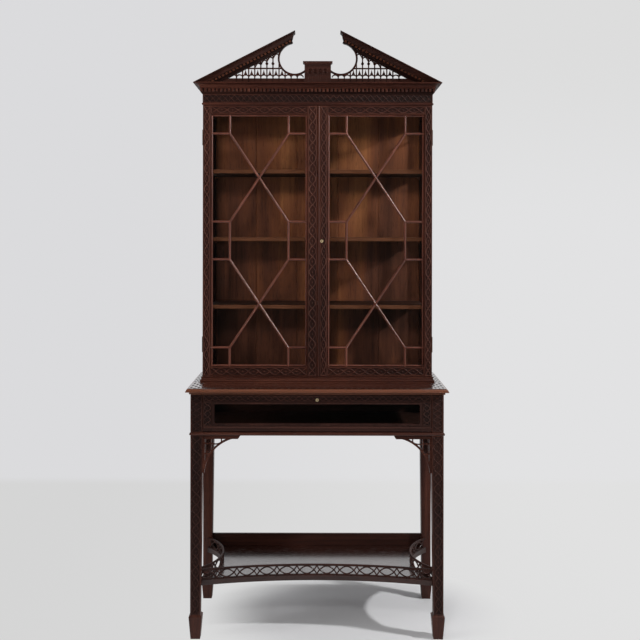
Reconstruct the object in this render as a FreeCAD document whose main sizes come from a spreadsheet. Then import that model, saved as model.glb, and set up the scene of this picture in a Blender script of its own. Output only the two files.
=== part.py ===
import FreeCAD, Part

import math
import operator
import os

import Sketcher
from FreeCAD import Placement, Rotation, Vector

# A carved mahogany display cabinet on its stand, in millimetres.
# The front faces -Y, +Z is up, and the origin is on the floor under the middle of the piece.

doc = FreeCAD.newDocument("display_cabinet")
sheet = doc.addObject("Spreadsheet::Sheet", "Sizes")

STAND = {
    "stand_width": 936, "stand_depth": 439, "stand_height": 928,
    "top_thickness": 21, "top_overhang": 19, "top_nose_drop": 9.5, "top_nose_inset": 6,
    "top_nose_flat": 2, "top_cove_inset": 16, "top_nose_radius": 9, "top_cove_radius": 16,
    "leg_width": 44, "leg_ankle": 36, "foot_height": 89, "foot_width": 48.5, "foot_toe": 35,
    "foot_bevel": 6, "box_height": 153, "rail_thickness": 12, "front_rail_depth": 40,
    "end_thickness": 18, "end_inset": 2, "end_stile": 26, "end_rail": 30, "end_lip": 8,
    "end_rebate": 6, "panel_thickness": 16, "waist_bead_height": 11, "waist_bead_projection": 5,
}
BRACKETS = {
    "bracket_reach": 140, "bracket_drop": 140, "bracket_thickness": 12, "bracket_inset": 5,
    "bracket_plate": 14, "bracket_radius": 142, "bracket_strap": 7, "bracket_centre_out": 147.3,
    "bracket_centre_down": 150.6, "bracket_end_run": 9, "bracket_bar": 4, "bracket_margin": 8,
    "bracket_bay": 29, "bracket_pitch": 38, "bracket_swag_radius": 32,
}
SHELF = {
    "shelf_underside": 191, "shelf_thickness": 20, "front_bow": 58, "front_bow_start": 20,
    "end_bow": 77, "end_bow_start": 18, "gallery_thickness": 7, "gallery_inset": 1,
    "gallery_height": 41, "gallery_rail": 7, "gallery_foot": 3, "gallery_play": 0.3,
    "fret_pitch": 75.4, "upstand_height": 50, "upstand_thickness": 12,
}
CABINET = {
    "cabinet_width": 886, "cabinet_depth": 284, "board_thickness": 22, "door_zone": 1047,
    "side_thickness": 22, "side_stile": 36, "side_top_rail": 38, "side_bottom_rail": 41,
    "back_thickness": 12, "back_groove": 2, "case_shelf_thickness": 15, "case_shelf_inset": 3,
    "case_shelf_play": 0.5, "lowest_bay": 260, "shelf_pitch": 263, "bearer_width": 20,
    "bearer_reach": 9, "bearer_drop": 11, "bearer_lip": 4, "ceiling_thickness": 16,
    "frieze_height": 86, "frieze_bead_height": 9, "frieze_bead_projection": 4,
    "frieze_bead_rise": 1.5, "side_sash_inset": 55, "base_moulding_projection": 10,
    "base_moulding_step": 5,
}
CORNICE = {
    "cornice_projection": 34, "cornice_height": 45, "cornice_fillet": 3.5, "cornice_cove_drop": 23,
    "cornice_cove_projection": 12.5, "cornice_cove_radius": 27, "cornice_fascia": 6,
    "cornice_fascia_drop": 33, "cornice_ovolo_radius": 13, "dentil_pitch": 15.2,
    "dentil_width": 8.5, "dentil_height": 7.5, "dentil_projection": 4.5, "dentil_web": 1.2,
    "dentil_drop": 1,
}
PEDIMENT = {
    "pediment_rise": 198, "pediment_gap": 174, "rake_height": 45, "rake_thickness": 20,
    "return_projection": 14, "fret_thickness": 8, "fret_setback": 5, "fret_base": 20,
    "picket_first": 314.3, "picket_pitch": 23.5, "picket_width": 4, "fret_bar_rise": 58.4,
    "fret_bar_width": 4, "arch_rise": 28, "arch_peak": 37, "arch_strap": 3.5, "spear_rise": 48,
    "spear_width": 6, "bulb_rise": 77, "bulb_width": 9, "bulb_height": 12, "flare_reach": 8,
    "flare_drop": 14, "ring_out": 89, "ring_rise": 96.7, "ring_radius": 58.4, "ring_band": 5.6,
    "ring_meeting_turn": 35, "rake_dentil_rise": 0.8, "plinth_width": 102, "plinth_height": 85,
    "plinth_depth": 34, "plinth_lead": 5, "plinth_cap_width": 114, "plinth_cap_height": 7, "plinth_cove": 5, "slot_width": 10,
    "slot_height": 20, "slot_depth": 4, "slot_pitch": 19, "slot_sill": 36,
}
DOORS = {
    "door_thickness": 22, "door_play": 1, "joint_gap": 1, "meeting_gap": 1.5, "stile": 31,
    "meeting_stile": 38.5, "door_top_rail": 34, "door_bottom_rail": 37, "door_lip": 12,
    "door_rebate": 8, "pane_thickness": 3, "pane_play": 0.5, "sash_bead": 4, "sash_bar": 8,
    "sash_depth": 8, "sash_bevel": 3, "sash_inset": 73,
    "hinge_offset": 121, "hinge_length": 60, "hinge_leaf": 16, "leaf_thickness": 1,
    "knuckle_radius": 2.2, "knuckle_offset": 2.5, "knuckle_play": 0.2, "hinge_pin_radius": 1.2,
    "pin_clearance": 0.05,
}
FALL = {
    "fall_thickness": 20, "fall_side_play": 0.8, "fall_foot_play": 1, "fall_head_play": 2,
    "fall_pivot": 6, "fall_stile": 35, "fall_top_rail": 27,
    "fall_bottom_rail": 24, "lip_width": 7.5, "lip_projection": 2.5, "lip_depth": 12,
    "lip_corner": 6, "pivot_pin_radius": 2.5, "pivot_pin_seat": 12, "pivot_pin_reach": 8,
}
LOCKS = {
    "lock_thickness": 8, "lock_width": 26, "lock_height": 44, "lock_play": 0.3, "bolt_length": 18,
    "bolt_width": 12, "bolt_thickness": 4, "bolt_set_back": 0.75, "keep_depth": 8,
    "key_inset": 16, "escutcheon_radius": 6, "escutcheon_thickness": 0.8,
    "keyhole_width": 2.4, "keyhole_height": 7, "fall_lock_width": 36, "fall_lock_height": 24,
    "fall_bolt_length": 12, "fall_bolt_width": 14, "fall_key_drop": 19, "overrun": 5,
}


class Size:
    """A length or a share: the text of its expression in the sheet's names, and its value now."""

    def __init__(self, text, value):
        self.text = text
        self.value = value

    def __add__(self, other):
        return combine(self, "+", other)

    def __radd__(self, other):
        return combine(other, "+", self)

    def __sub__(self, other):
        return combine(self, "-", other)

    def __rsub__(self, other):
        return combine(other, "-", self)

    def __mul__(self, other):
        return combine(self, "*", other)

    def __rmul__(self, other):
        return combine(other, "*", self)

    def __truediv__(self, other):
        return combine(self, "/", other)

    def __neg__(self):
        return combine(0, "-", self)


OPERATIONS = {"+": operator.add, "-": operator.sub, "*": operator.mul, "/": operator.truediv}


def as_size(thing):
    return thing if isinstance(thing, Size) else Size(repr(thing), thing)


def combine(left, sign, right):
    left = as_size(left)
    right = as_size(right)
    value = OPERATIONS[sign](left.value, right.value)
    return Size(f"({left.text} {sign} {right.text})", value)


def root(size):
    return Size(f"sqrt({size.text})", math.sqrt(size.value))


def sine(angle):
    return Size(f"sin({angle.text})", math.sin(math.radians(angle.value)))


def cosine(angle):
    return Size(f"cos({angle.text})", math.cos(math.radians(angle.value)))


def slope_angle(slope):
    """The angle of a slope, in degrees."""
    return Size(f"(atan({slope.text}) / 1 deg)", math.degrees(math.atan(slope.value)))


def whole(size):
    return Size(f"floor({size.text})", math.floor(size.value))


def leg_of_triangle(longest, other):
    """The third side of a right triangle: how far an arc of that radius has run."""
    return root(longest * longest - other * other)


def arc_radius(half_chord, rise):
    """The radius of the arc that rises so far over half its chord."""
    return (half_chord * half_chord + rise * rise) / (2 * rise)


class Named:
    """The sheet's sizes, each as an attribute."""


S = Named()
row = 0
for family in (STAND, BRACKETS, SHELF, CABINET, CORNICE, PEDIMENT, DOORS, FALL, LOCKS):
    for alias, value in family.items():
        row += 1
        sheet.set(f"A{row}", alias)
        sheet.set(f"B{row}", str(value))
        sheet.setAlias(f"B{row}", alias)
        setattr(S, alias, Size(f"Sizes.{alias}", float(value)))
doc.recompute()

# Planes that many pieces share
leg_out = S.stand_width / 2
leg_front = (S.top_overhang - S.stand_depth) / 2
leg_back = (S.top_overhang + S.stand_depth) / 2
box_top = S.stand_height - S.top_thickness
box_floor = box_top - S.box_height
rail_top = box_floor + S.rail_thickness
leg_taper = (S.leg_width - S.leg_ankle) / (box_floor - S.foot_height)
shelf_top = S.shelf_underside + S.shelf_thickness

case_out = S.cabinet_width / 2
case_face = leg_back - S.cabinet_depth
door_back = case_face + S.door_thickness
case_edge = door_back + S.joint_gap
case_in = case_out - S.side_thickness
case_floor = S.stand_height + S.board_thickness
case_head = case_floor + S.door_zone
cornice_top = case_head + S.frieze_height
back_face = leg_back - S.back_thickness

door_low = case_floor + S.door_play
door_high = case_head - S.door_play
door_height = door_high - door_low
door_inner = S.meeting_gap / 2
door_width = case_out - door_inner
hinge_heights = (door_low + S.hinge_offset, door_high - S.hinge_offset)

fall_out = leg_out - S.leg_width - S.fall_side_play
fall_low = rail_top + S.fall_foot_play
fall_high = box_top - S.fall_head_play
fall_back = leg_front + S.fall_thickness
pivot_y = leg_front + S.fall_pivot
pivot_z = fall_low + S.fall_pivot

nodes = {}


def leg_at(height):
    """A leg's width at a height on its taper."""
    return S.leg_ankle + leg_taper * (height - S.foot_height)


# Ways of making a piece

def bind(thing, path, size):
    thing.setExpression(path, as_size(size).text)


def place(thing, x=0, y=0, z=0, turn=0):
    """Puts a piece at its place, turned about the vertical by so many degrees."""
    thing.Placement = Placement(Vector(), Rotation(Vector(0, 0, 1), turn))
    for path, size in (("x", x), ("y", y), ("z", z)):
        bind(thing, f"Placement.Base.{path}", size)
    return thing


def node(name, thing):
    thing.Label = name
    nodes[name] = thing
    return thing


def board(name, low, span, turn=0):
    """A plain squared board from its low corner."""
    made = doc.addObject("Part::Box", name)
    for path, size in zip(("Length", "Width", "Height"), span):
        bind(made, path, size)
    return place(made, *low, turn)


def rod(name, place_of, radius, length, axis):
    """A round rod that starts at a point and runs along an axis."""
    made = doc.addObject("Part::Cylinder", name)
    bind(made, "Radius", radius)
    bind(made, "Height", length)
    place(made, *place_of)
    made.Placement.Rotation = Rotation(Vector(0, 0, 1), axis)
    return made


def cut(name, base, tool):
    made = doc.addObject("Part::Cut", name)
    made.Base = base
    made.Tool = tool
    return made


def fuse(name, things):
    made = doc.addObject("Part::MultiFuse", name)
    made.Shapes = things
    return made


def group(name, things):
    made = doc.addObject("Part::Compound", name)
    made.Links = things
    return made


def mirrored(name, source):
    """The same piece for the other hand."""
    made = doc.addObject("Part::Mirroring", name)
    made.Source = source
    made.Normal = (1, 0, 0)
    return made


def new_body(name):
    return doc.addObject("PartDesign::Body", name)


def origin_of(body, role):
    return next(item for item in body.Origin.OriginFeatures if item.Role == role)


def sketch_on(body, role, offset=0):
    """A sketch on one of the body's own planes, or so far in front of it."""
    sketch = body.newObject("Sketcher::SketchObject", f"{body.Name}_sketch")
    sketch.AttachmentSupport = [(origin_of(body, role), "")]
    sketch.MapMode = "FlatFace"
    bind(sketch, "AttachmentOffset.Base.z", offset)
    return sketch


def outline(sketch, points):
    """A closed outline. A point is (x, y), or (x, y, radius) where the edge that leaves it is an arc:
    a positive radius turns left on the way to the next point, a negative one turns right."""
    first = sketch.GeometryCount
    corners = [tuple(as_size(part) for part in point) for point in points]
    starts = []
    for index, corner in enumerate(corners):
        after = corners[(index + 1) % len(corners)]
        here = Vector(corner[0].value, corner[1].value, 0)
        there = Vector(after[0].value, after[1].value, 0)
        if len(corner) == 2:
            sketch.addGeometry(Part.LineSegment(here, there), False)
            starts.append(1)
            continue
        radius = corner[2].value
        half = (there - here) * 0.5
        left = Vector(-half.y, half.x, 0).normalize()
        reach = math.sqrt(max(radius * radius - half.Length * half.Length, 0))
        centre = here + half + left * math.copysign(reach, radius)
        ends = (here, there) if radius > 0 else (there, here)
        angles = [math.atan2(end.y - centre.y, end.x - centre.x) for end in ends]
        circle = Part.Circle(centre, Vector(0, 0, 1), abs(radius))
        sketch.addGeometry(Part.ArcOfCircle(circle, *angles), False)
        starts.append(1 if radius > 0 else 2)
    ties = []
    sizes = []
    for index, corner in enumerate(corners):
        after = (index + 1) % len(corners)
        ends_at = 3 - starts[index]
        ties.append(Sketcher.Constraint("Coincident", first + index, ends_at, first + after, starts[after]))
        sizes.append(None)
    for index, corner in enumerate(corners):
        for kind, size in (("DistanceX", corner[0]), ("DistanceY", corner[1])):
            ties.append(Sketcher.Constraint(kind, -1, 1, first + index, starts[index], size.value))
            sizes.append(size)
        if len(corner) == 3:
            radius = corner[2] if corner[2].value > 0 else -corner[2]
            ties.append(Sketcher.Constraint("Radius", first + index, radius.value))
            sizes.append(radius)
    for number, size in zip(sketch.addConstraint(ties), sizes):
        if size is not None:
            sketch.setExpression(f"Constraints[{number}]", size.text)


def halfway(start, end, radius):
    """The middle point of the arc between two points, which turns left where its radius is positive."""
    across = end[0] - start[0]
    along = end[1] - start[1]
    chord = root(across * across + along * along)
    side = 1 if radius.value > 0 else -1
    rise = radius * side - leg_of_triangle(radius, chord / 2)
    return ((start[0] + end[0]) / 2 + side * rise * along / chord,
            (start[1] + end[1]) / 2 - side * rise * across / chord)


def in_chords(points):
    """The same outline with four chords for each arc, for what repeats or is cut at a slant."""
    straight = []
    for index, point in enumerate(points):
        straight.append(point[:2])
        if len(point) == 3:
            after = points[(index + 1) % len(points)][:2]
            middle = halfway(point, after, point[2])
            straight += [halfway(point, middle, point[2]), middle, halfway(middle, after, point[2])]
    return straight


def round_outline(sketch, x, y, radius):
    """A circle about a point."""
    x, y, radius = as_size(x), as_size(y), as_size(radius)
    circle = Part.Circle(Vector(x.value, y.value, 0), Vector(0, 0, 1), radius.value)
    index = sketch.addGeometry(circle, False)
    ties = [
        Sketcher.Constraint("DistanceX", -1, 1, index, 3, x.value),
        Sketcher.Constraint("DistanceY", -1, 1, index, 3, y.value),
        Sketcher.Constraint("Radius", index, radius.value),
    ]
    for number, size in zip(sketch.addConstraint(ties), (x, y, radius)):
        sketch.setExpression(f"Constraints[{number}]", size.text)


def rectangle(low_x, low_y, high_x, high_y):
    return [(low_x, low_y), (high_x, low_y), (high_x, high_y), (low_x, high_y)]


def grow(body, kind, sketch, length=None, backwards=False, both=False):
    """A pad or a pocket. Without a length it goes right through, on both sides of its sketch."""
    feature = body.newObject(f"PartDesign::{kind}", f"{body.Name}_{kind.lower()}")
    feature.Profile = sketch
    if length is None:
        feature.SideType = "Two sides"
        feature.Type = "ThroughAll"
        feature.Type2 = "ThroughAll"
    else:
        bind(feature, "Length", length)
        feature.SideType = "Symmetric" if both else "One side"
        feature.Reversed = backwards
    sketch.Visibility = False
    return feature


def set_shape(name, shape):
    made = doc.addObject("Part::Feature", name)
    made.Shape = shape
    return made


# Mouldings that run along the front and both ends and are mitred at the corners

def mitred_runs(name, out, face, back, height, profile, reach, thickness=0):
    """Three runs of one profile. The profile's points are (outwards, upwards) from the carcase's face,
    it stands out by reach, and it goes as far behind the face as its thickness."""
    points = [(-point[0], *point[1:2], *[-radius for radius in point[2:]]) for point in profile]
    front = new_body(f"{name}_front")
    sketch = sketch_on(front, "YZ_Plane")
    outline(sketch, points)
    grow(front, "Pad", sketch, 2 * (out + reach), both=True)
    corners = sketch_on(front, "XY_Plane")
    for side in (-1, 1):
        tip = side * (out + reach)
        outline(corners, [(tip, -reach), (side * (out - thickness), as_size(thickness)),
                          (side * (out + reach + S.overrun), as_size(thickness)),
                          (side * (out + reach + S.overrun), -reach)])
    grow(front, "Pocket", corners)
    place(front, 0, face, height)

    depth = back - face
    end = new_body(f"{name}_left")
    sketch = sketch_on(end, "XZ_Plane")
    outline(sketch, points)
    grow(end, "Pad", sketch, depth + reach)
    corner = sketch_on(end, "XY_Plane")
    outline(corner, [(as_size(thickness), thickness - depth), (-reach, -depth - reach),
                     (-reach, -depth - reach - S.overrun),
                     (as_size(thickness), -depth - reach - S.overrun)])
    grow(end, "Pocket", corner)
    place(end, -out, back, height)
    return node(name, group(name, [front, end, mirrored(f"{name}_right", end)]))


# Frames of stiles and rails, rebated behind for a pane

def glazed_frame(name, width, height, depth, left, right, bottom, top, lip, rebate, recesses=()):
    """Two stiles with two rails between them, from the origin, face at y = 0. Each recess is a
    (member, solid) pair that is cut out of one member."""
    clear = board(f"{name}_rebate", (left - rebate, lip, bottom - rebate),
                  (width - left - right + 2 * rebate, depth - lip + S.overrun,
                   height - bottom - top + 2 * rebate))
    between = width - left - right
    members = {
        "left_stile": ((0, 0, 0), (left, depth, height)),
        "right_stile": ((width - right, 0, 0), (right, depth, height)),
        "bottom_rail": ((left, 0, 0), (between, depth, bottom)),
        "top_rail": ((left, 0, height - top), (between, depth, top)),
    }
    made = []
    for member, (low, span) in members.items():
        piece = cut(f"{name}_{member}", board(f"{name}_{member}_blank", low, span), clear)
        for number, (owner, tool) in enumerate(recesses):
            if owner == member:
                piece = cut(f"{name}_{member}_{number}", piece, tool)
        made.append(piece)
    return group(name, made)


def sash_bars(name, width, height, pattern_inset):
    """The astragals in an opening: a bead all round, short bars that square off the corners and the
    middle, and crossed bars between them. The back of the bars is at y = 0."""
    wide = width.value
    high = height.value
    inset = pattern_inset.value
    depth = S.sash_depth.value
    bevel = S.sash_bevel.value
    middle = high / 2

    def at(x, z):
        return Vector(x, 0, z)

    def bar(start, end, thickness, lap):
        """One bar with bevelled edges, run on past its ends by the lap."""
        along = (end - start).normalize()
        start = start - along * lap
        end = end + along * lap
        across = along.cross(Vector(0, 1, 0))
        half = thickness / 2
        section = [(-half, 0), (half, 0), (half, bevel - depth), (half - bevel, -depth),
                   (bevel - half, -depth), (-half, bevel - depth)]
        corners = [start + across * side + Vector(0, out, 0) for side, out in section]
        face = Part.Face(Part.makePolygon(corners + corners[:1]))
        return face.extrude(end - start)

    bars = []
    edge = S.sash_bar.value / 2
    for start, end in ((at(0, 0), at(wide, 0)), (at(0, high), at(wide, high)),
                       (at(0, 0), at(0, high)), (at(wide, 0), at(wide, high))):
        bars.append(bar(start, end, 2 * S.sash_bead.value, 0))
    levels = (inset, middle - inset, middle + inset, high - inset)
    for level in levels:
        bars.append(bar(at(0, level), at(inset, level), 2 * edge, edge))
        bars.append(bar(at(wide - inset, level), at(wide, level), 2 * edge, edge))
    for x in (inset, wide - inset):
        bars.append(bar(at(x, 0), at(x, levels[0]), 2 * edge, edge))
        bars.append(bar(at(x, levels[1]), at(x, levels[2]), 2 * edge, edge))
        bars.append(bar(at(x, levels[3]), at(x, high), 2 * edge, edge))
    for low, top in ((levels[0], levels[1]), (levels[2], levels[3])):
        bars.append(bar(at(inset, low), at(wide - inset, top), 2 * edge, 0))
        bars.append(bar(at(wide - inset, low), at(inset, top), 2 * edge, 0))
    trim = Part.makeBox(wide, depth, high, Vector(0, -depth, 0))
    return set_shape(name, bars[0].multiFuse(bars[1:]).common(trim).removeSplitter())


# Stand: legs

def leg(name, side, end):
    """A square leg: straight beside the compartment, then tapered on its two inner faces down to the
    ankle, over a block foot, which is flush behind on the rear legs. Its outer corner is the origin."""
    body = new_body(name)
    flush = as_size(0)
    toe_set = (S.leg_ankle - S.foot_toe) / 2
    foot_set = (S.leg_ankle - S.foot_width) / 2
    block_high = S.foot_height - S.foot_bevel

    def profile(inward, free):
        """One view of the leg. The foot stands out on an outer side that is free."""
        outer = [(flush, box_top), (flush, S.foot_height), (foot_set, block_high), (toe_set, flush)]
        if not free:
            outer = [(flush, box_top), (flush, flush)]
        inner = [(toe_set + S.foot_toe, flush), (foot_set + S.foot_width, block_high),
                 (S.leg_ankle, S.foot_height), (S.leg_width, box_floor), (S.leg_width, box_top)]
        return [(inward * run, height) for run, height in outer + inner]

    inward_x = -side
    reach = 2 * S.foot_width
    front_view = sketch_on(body, "XZ_Plane")
    outline(front_view, profile(inward_x, True))
    grow(body, "Pad", front_view, 2 * reach, both=True)
    end_view = sketch_on(body, "YZ_Plane")
    outline(end_view, rectangle(-reach - S.overrun, -S.overrun, reach + S.overrun, box_top + S.overrun))
    outline(end_view, profile(-end, end < 0))
    grow(body, "Pocket", end_view)
    if end < 0:
        bore = sketch_on(body, "YZ_Plane", inward_x * S.leg_width)
        round_outline(bore, S.fall_pivot, pivot_z, S.pivot_pin_radius + S.pin_clearance)
        grow(body, "Pocket", bore, S.pivot_pin_reach + S.fall_side_play, backwards=side > 0)
    place(body, side * leg_out, leg_front if end < 0 else leg_back, 0)
    return node(name, body)


leg("front_left_leg", -1, -1)
leg("front_right_leg", 1, -1)
leg("rear_left_leg", -1, 1)
leg("rear_right_leg", 1, 1)

# Stand: the box that holds the display compartment

between_legs = 2 * (leg_out - S.leg_width)
node("front_rail", board("front_rail", (S.leg_width - leg_out, leg_front, box_floor),
                         (between_legs, S.front_rail_depth, S.rail_thickness)))
node("rear_panel", board("rear_panel", (S.leg_width - leg_out, leg_back - S.panel_thickness, box_floor),
                         (between_legs, S.panel_thickness, S.box_height)))

end_length = S.stand_depth - 2 * S.leg_width
left_end = glazed_frame("left_end_frame", end_length, S.box_height, S.end_thickness, S.end_stile,
                        S.end_stile, S.end_rail, S.end_rail, S.end_lip, S.end_rebate)
node("left_end_frame", place(left_end, S.end_inset - leg_out, leg_back - S.leg_width, box_floor, -90))
node("right_end_frame", mirrored("right_end_frame", left_end))
end_pane_grow = S.end_rebate - S.pane_play
left_end_pane = board(
    "left_end_pane",
    (S.end_inset + S.end_lip - leg_out,
     leg_back - S.leg_width - S.end_stile + end_pane_grow,
     box_floor + S.end_rail - end_pane_grow),
    (end_length - 2 * S.end_stile + 2 * end_pane_grow, S.pane_thickness,
     S.box_height - 2 * S.end_rail + 2 * end_pane_grow), -90)
node("end_panes", group("end_panes", [left_end_pane, mirrored("right_end_pane", left_end_pane)]))


def compartment_floor():
    """The floor between the rails, with ears that reach the end frames behind the legs."""
    body = new_body("compartment_floor")
    sketch = sketch_on(body, "XY_Plane")
    front_y = leg_front + S.front_rail_depth
    leg_end_front = leg_front + S.leg_width
    leg_end_back = leg_back - S.leg_width
    back_y = leg_back - S.panel_thickness
    narrow = leg_out - S.leg_width
    broad = leg_out - S.end_inset - S.end_thickness
    right = [(narrow, front_y), (narrow, leg_end_front), (broad, leg_end_front),
             (broad, leg_end_back), (narrow, leg_end_back), (narrow, back_y)]
    outline(sketch, right + [(-x, y) for x, y in reversed(right)])
    grow(body, "Pad", sketch, S.rail_thickness)
    place(body, 0, 0, box_floor)
    return node("compartment_floor", body)


compartment_floor()

waist_half = S.waist_bead_height / 2
mitred_runs("waist_bead", leg_out, leg_front, leg_back, box_floor,
            [(as_size(0), as_size(0), arc_radius(waist_half, S.waist_bead_projection)),
             (as_size(0), S.waist_bead_height)], S.waist_bead_projection)


# Stand: pierced corner brackets

def bracket(name):
    """A quarter-round spandrel under a rail, pierced by straight bars and one curved one. It lies in
    the XZ plane with its corner at the origin, its plate along +X and its arm down -Z."""
    body = new_body(name)
    centre_x = S.bracket_centre_out
    centre_z = S.bracket_centre_down
    inner = S.bracket_radius + S.bracket_strap
    plate = S.bracket_plate
    near = S.bracket_margin
    bay = S.bracket_bay
    past_bay = bay + S.bracket_bar
    second = bay + S.bracket_pitch
    past_second = second + S.bracket_bar

    def along(depth, radius):
        """How far out the arc of that radius is at a depth below the rail."""
        return centre_x - leg_of_triangle(radius, centre_z - depth)

    def down(run, radius):
        """How far down the arc of that radius is at a distance from the leg."""
        return centre_z - leg_of_triangle(radius, centre_x - run)

    drop = S.bracket_drop
    sketch = sketch_on(body, "XZ_Plane")
    outline(sketch, [(as_size(0), as_size(0)), (S.bracket_reach, as_size(0)),
                     (S.bracket_reach - S.bracket_end_run, -plate),
                     (along(plate, S.bracket_radius), -plate, S.bracket_radius),
                     (along(drop, S.bracket_radius), -drop), (-leg_taper * drop, -drop)])
    grow(body, "Pad", sketch, S.bracket_thickness, both=True)
    holes = sketch_on(body, "XZ_Plane")
    swag = S.bracket_swag_radius
    outline(holes, rectangle(near, -bay, bay, -plate))
    outline(holes, [(past_bay, -plate), (past_bay, -bay, swag), (along(bay, inner), -bay, -inner),
                    (second, -down(second, inner)), (second, -plate)])
    outline(holes, [(past_second, -plate), (past_second, -down(past_second, inner), -inner),
                    (along(plate, inner), -plate)])
    outline(holes, [(past_bay, -past_bay), (past_bay, -down(past_bay, inner), -inner),
                    (along(past_bay, inner), -past_bay, -swag)])
    outline(holes, [(near, -past_bay), (near, -second), (along(second, inner), -second, -inner),
                    (bay, -down(bay, inner)), (bay, -past_bay)])
    outline(holes, [(near, -past_second), (near, -down(near, inner), -inner),
                    (along(past_second, inner), -past_second)])
    grow(body, "Pocket", holes)
    return body


bracket_centre = S.bracket_inset + S.bracket_thickness / 2
front_bracket = place(bracket("front_left_bracket"), S.leg_width - leg_out,
                      leg_front + bracket_centre, box_floor)
node("front_left_bracket", front_bracket)
node("front_right_bracket", mirrored("front_right_bracket", front_bracket))
end_x = bracket_centre - leg_out
fore = place(bracket("left_fore_bracket"), end_x, leg_front + S.leg_width, box_floor, 90)
aft = place(bracket("left_aft_bracket"), end_x, leg_back - S.leg_width, box_floor, -90)
left_brackets = group("left_end_brackets", [fore, aft])
node("left_end_brackets", left_brackets)
node("right_end_brackets", mirrored("right_end_brackets", left_brackets))

# Stand: lower shelf between the legs, hollowed on three sides

leg_hold = leg_at(shelf_top)
front_half = leg_out - leg_hold
front_radius = arc_radius(front_half, S.front_bow)
front_centre_y = leg_front + S.front_bow_start + S.front_bow - front_radius
end_front = leg_front + leg_hold
end_back = leg_back - leg_hold
end_half = (end_back - end_front) / 2
end_radius = arc_radius(end_half, S.end_bow)
end_middle_y = (end_front + end_back) / 2
end_centre_x = leg_out - S.end_bow_start - S.end_bow + end_radius


def lower_shelf():
    body = new_body("lower_shelf")
    sketch = sketch_on(body, "XY_Plane")
    front_y = leg_front + S.front_bow_start
    end_x = leg_out - S.end_bow_start
    outline(sketch, [
        (-front_half, front_y, -front_radius), (front_half, front_y), (front_half, end_front),
        (end_x, end_front, -end_radius), (end_x, end_back), (front_half, end_back),
        (front_half, leg_back), (-front_half, leg_back), (-front_half, end_back),
        (-end_x, end_back, -end_radius), (-end_x, end_front), (-front_half, end_front),
    ])
    grow(body, "Pad", sketch, S.shelf_thickness)
    place(body, 0, 0, S.shelf_underside)
    return node("lower_shelf", body)


lower_shelf()
upstand_half = leg_out - leg_at(shelf_top + S.upstand_height)
node("shelf_upstand", board("shelf_upstand", (-upstand_half, leg_back - S.upstand_thickness, shelf_top),
                            (2 * upstand_half, S.upstand_thickness, S.upstand_height)))

# Stand: pierced galleries, each a chain of pointed ovals and diamonds on a curved strip
OVAL_LENGTH_SHARE = 0.316
OVAL_HEIGHT_SHARE = 0.36
DIAMOND_LENGTH_SHARE = 0.078
DIAMOND_HEIGHT_SHARE = 0.33
SPANDREL_SHARES = ((0.445, 0.47), (0.19, 0.47), (0.355, 0.17))
CENTRE_SHARE = 0.5


def gallery(name, radius, half, units, lengths_in_unit):
    """A curved strip about the origin, on its +Y side, bent in short lengths, so many to a unit, and
    pierced by so many units of the chain."""
    body = new_body(name)
    inner = radius + S.gallery_inset
    outer = inner + S.gallery_thickness
    pitch = S.fret_pitch
    step = pitch / radius * (180 / math.pi)
    bends = int(math.degrees(math.asin(half.value / inner.value)) / step.value * lengths_in_unit)
    turns = [step * (number / lengths_in_unit) for number in range(-bends, bends + 1)]
    strip = sketch_on(body, "XY_Plane")
    near = [(inner * sine(turn), inner * cosine(turn)) for turn in turns]
    far = [(outer * sine(turn), outer * cosine(turn)) for turn in turns]
    near_end = leg_of_triangle(inner, half)
    far_end = leg_of_triangle(outer, half)
    far = [point for point in far if abs(point[0].value) < half.value]
    outline(strip, [(-half, near_end)] + near + [(half, near_end), (half, far_end)] + far[::-1]
            + [(-half, far_end)])
    grow(body, "Pad", strip, S.gallery_height)
    low = S.gallery_foot
    tall = S.gallery_height - S.gallery_rail - low
    middle = low + tall / 2
    last = as_size(units - 1)

    def pierce(shapes, count, start):
        sketch = sketch_on(body, "XZ_Plane")
        sketch.AttachmentOffset = Placement(Vector(), Rotation(Vector(0, 1, 0), start.value))
        bind(sketch, "AttachmentOffset.Rotation.Angle", start)
        for shape in shapes:
            outline(sketch, shape)
        feature = body.newObject("PartDesign::Pocket", f"{name}_pocket")
        feature.Profile = sketch
        feature.Type = "ThroughAll"
        sketch.Visibility = False
        if count < 2:
            return
        pattern = body.newObject("PartDesign::PolarPattern", f"{name}_pattern")
        pattern.Originals = [feature]
        pattern.Axis = (origin_of(body, "Z_Axis"), [""])
        bind(pattern, "Angle", step * (count - 1))
        pattern.Occurrences = count
        body.Tip = pattern

    oval_x = OVAL_LENGTH_SHARE * pitch
    oval_z = OVAL_HEIGHT_SHARE * tall
    oval_radius = arc_radius(oval_x, oval_z)
    oval = in_chords([(-oval_x, middle, oval_radius), (oval_x, middle, oval_radius)])
    spandrels = []
    for side in (-1, 1):
        for rise in (-1, 1):
            corners = [(side * x * pitch, middle + rise * z * tall) for x, z in SPANDREL_SHARES]
            spandrels.append(corners)
    pierce([oval] + spandrels, units, -step * (last / 2))
    diamond_x = DIAMOND_LENGTH_SHARE * pitch
    diamond_z = DIAMOND_HEIGHT_SHARE * tall
    diamond = [(-diamond_x, middle), (as_size(0), middle - diamond_z), (diamond_x, middle),
               (as_size(0), middle + diamond_z)]
    pierce([diamond], units - 1, -step * (last / 2 - CENTRE_SHARE))
    return body


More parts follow.
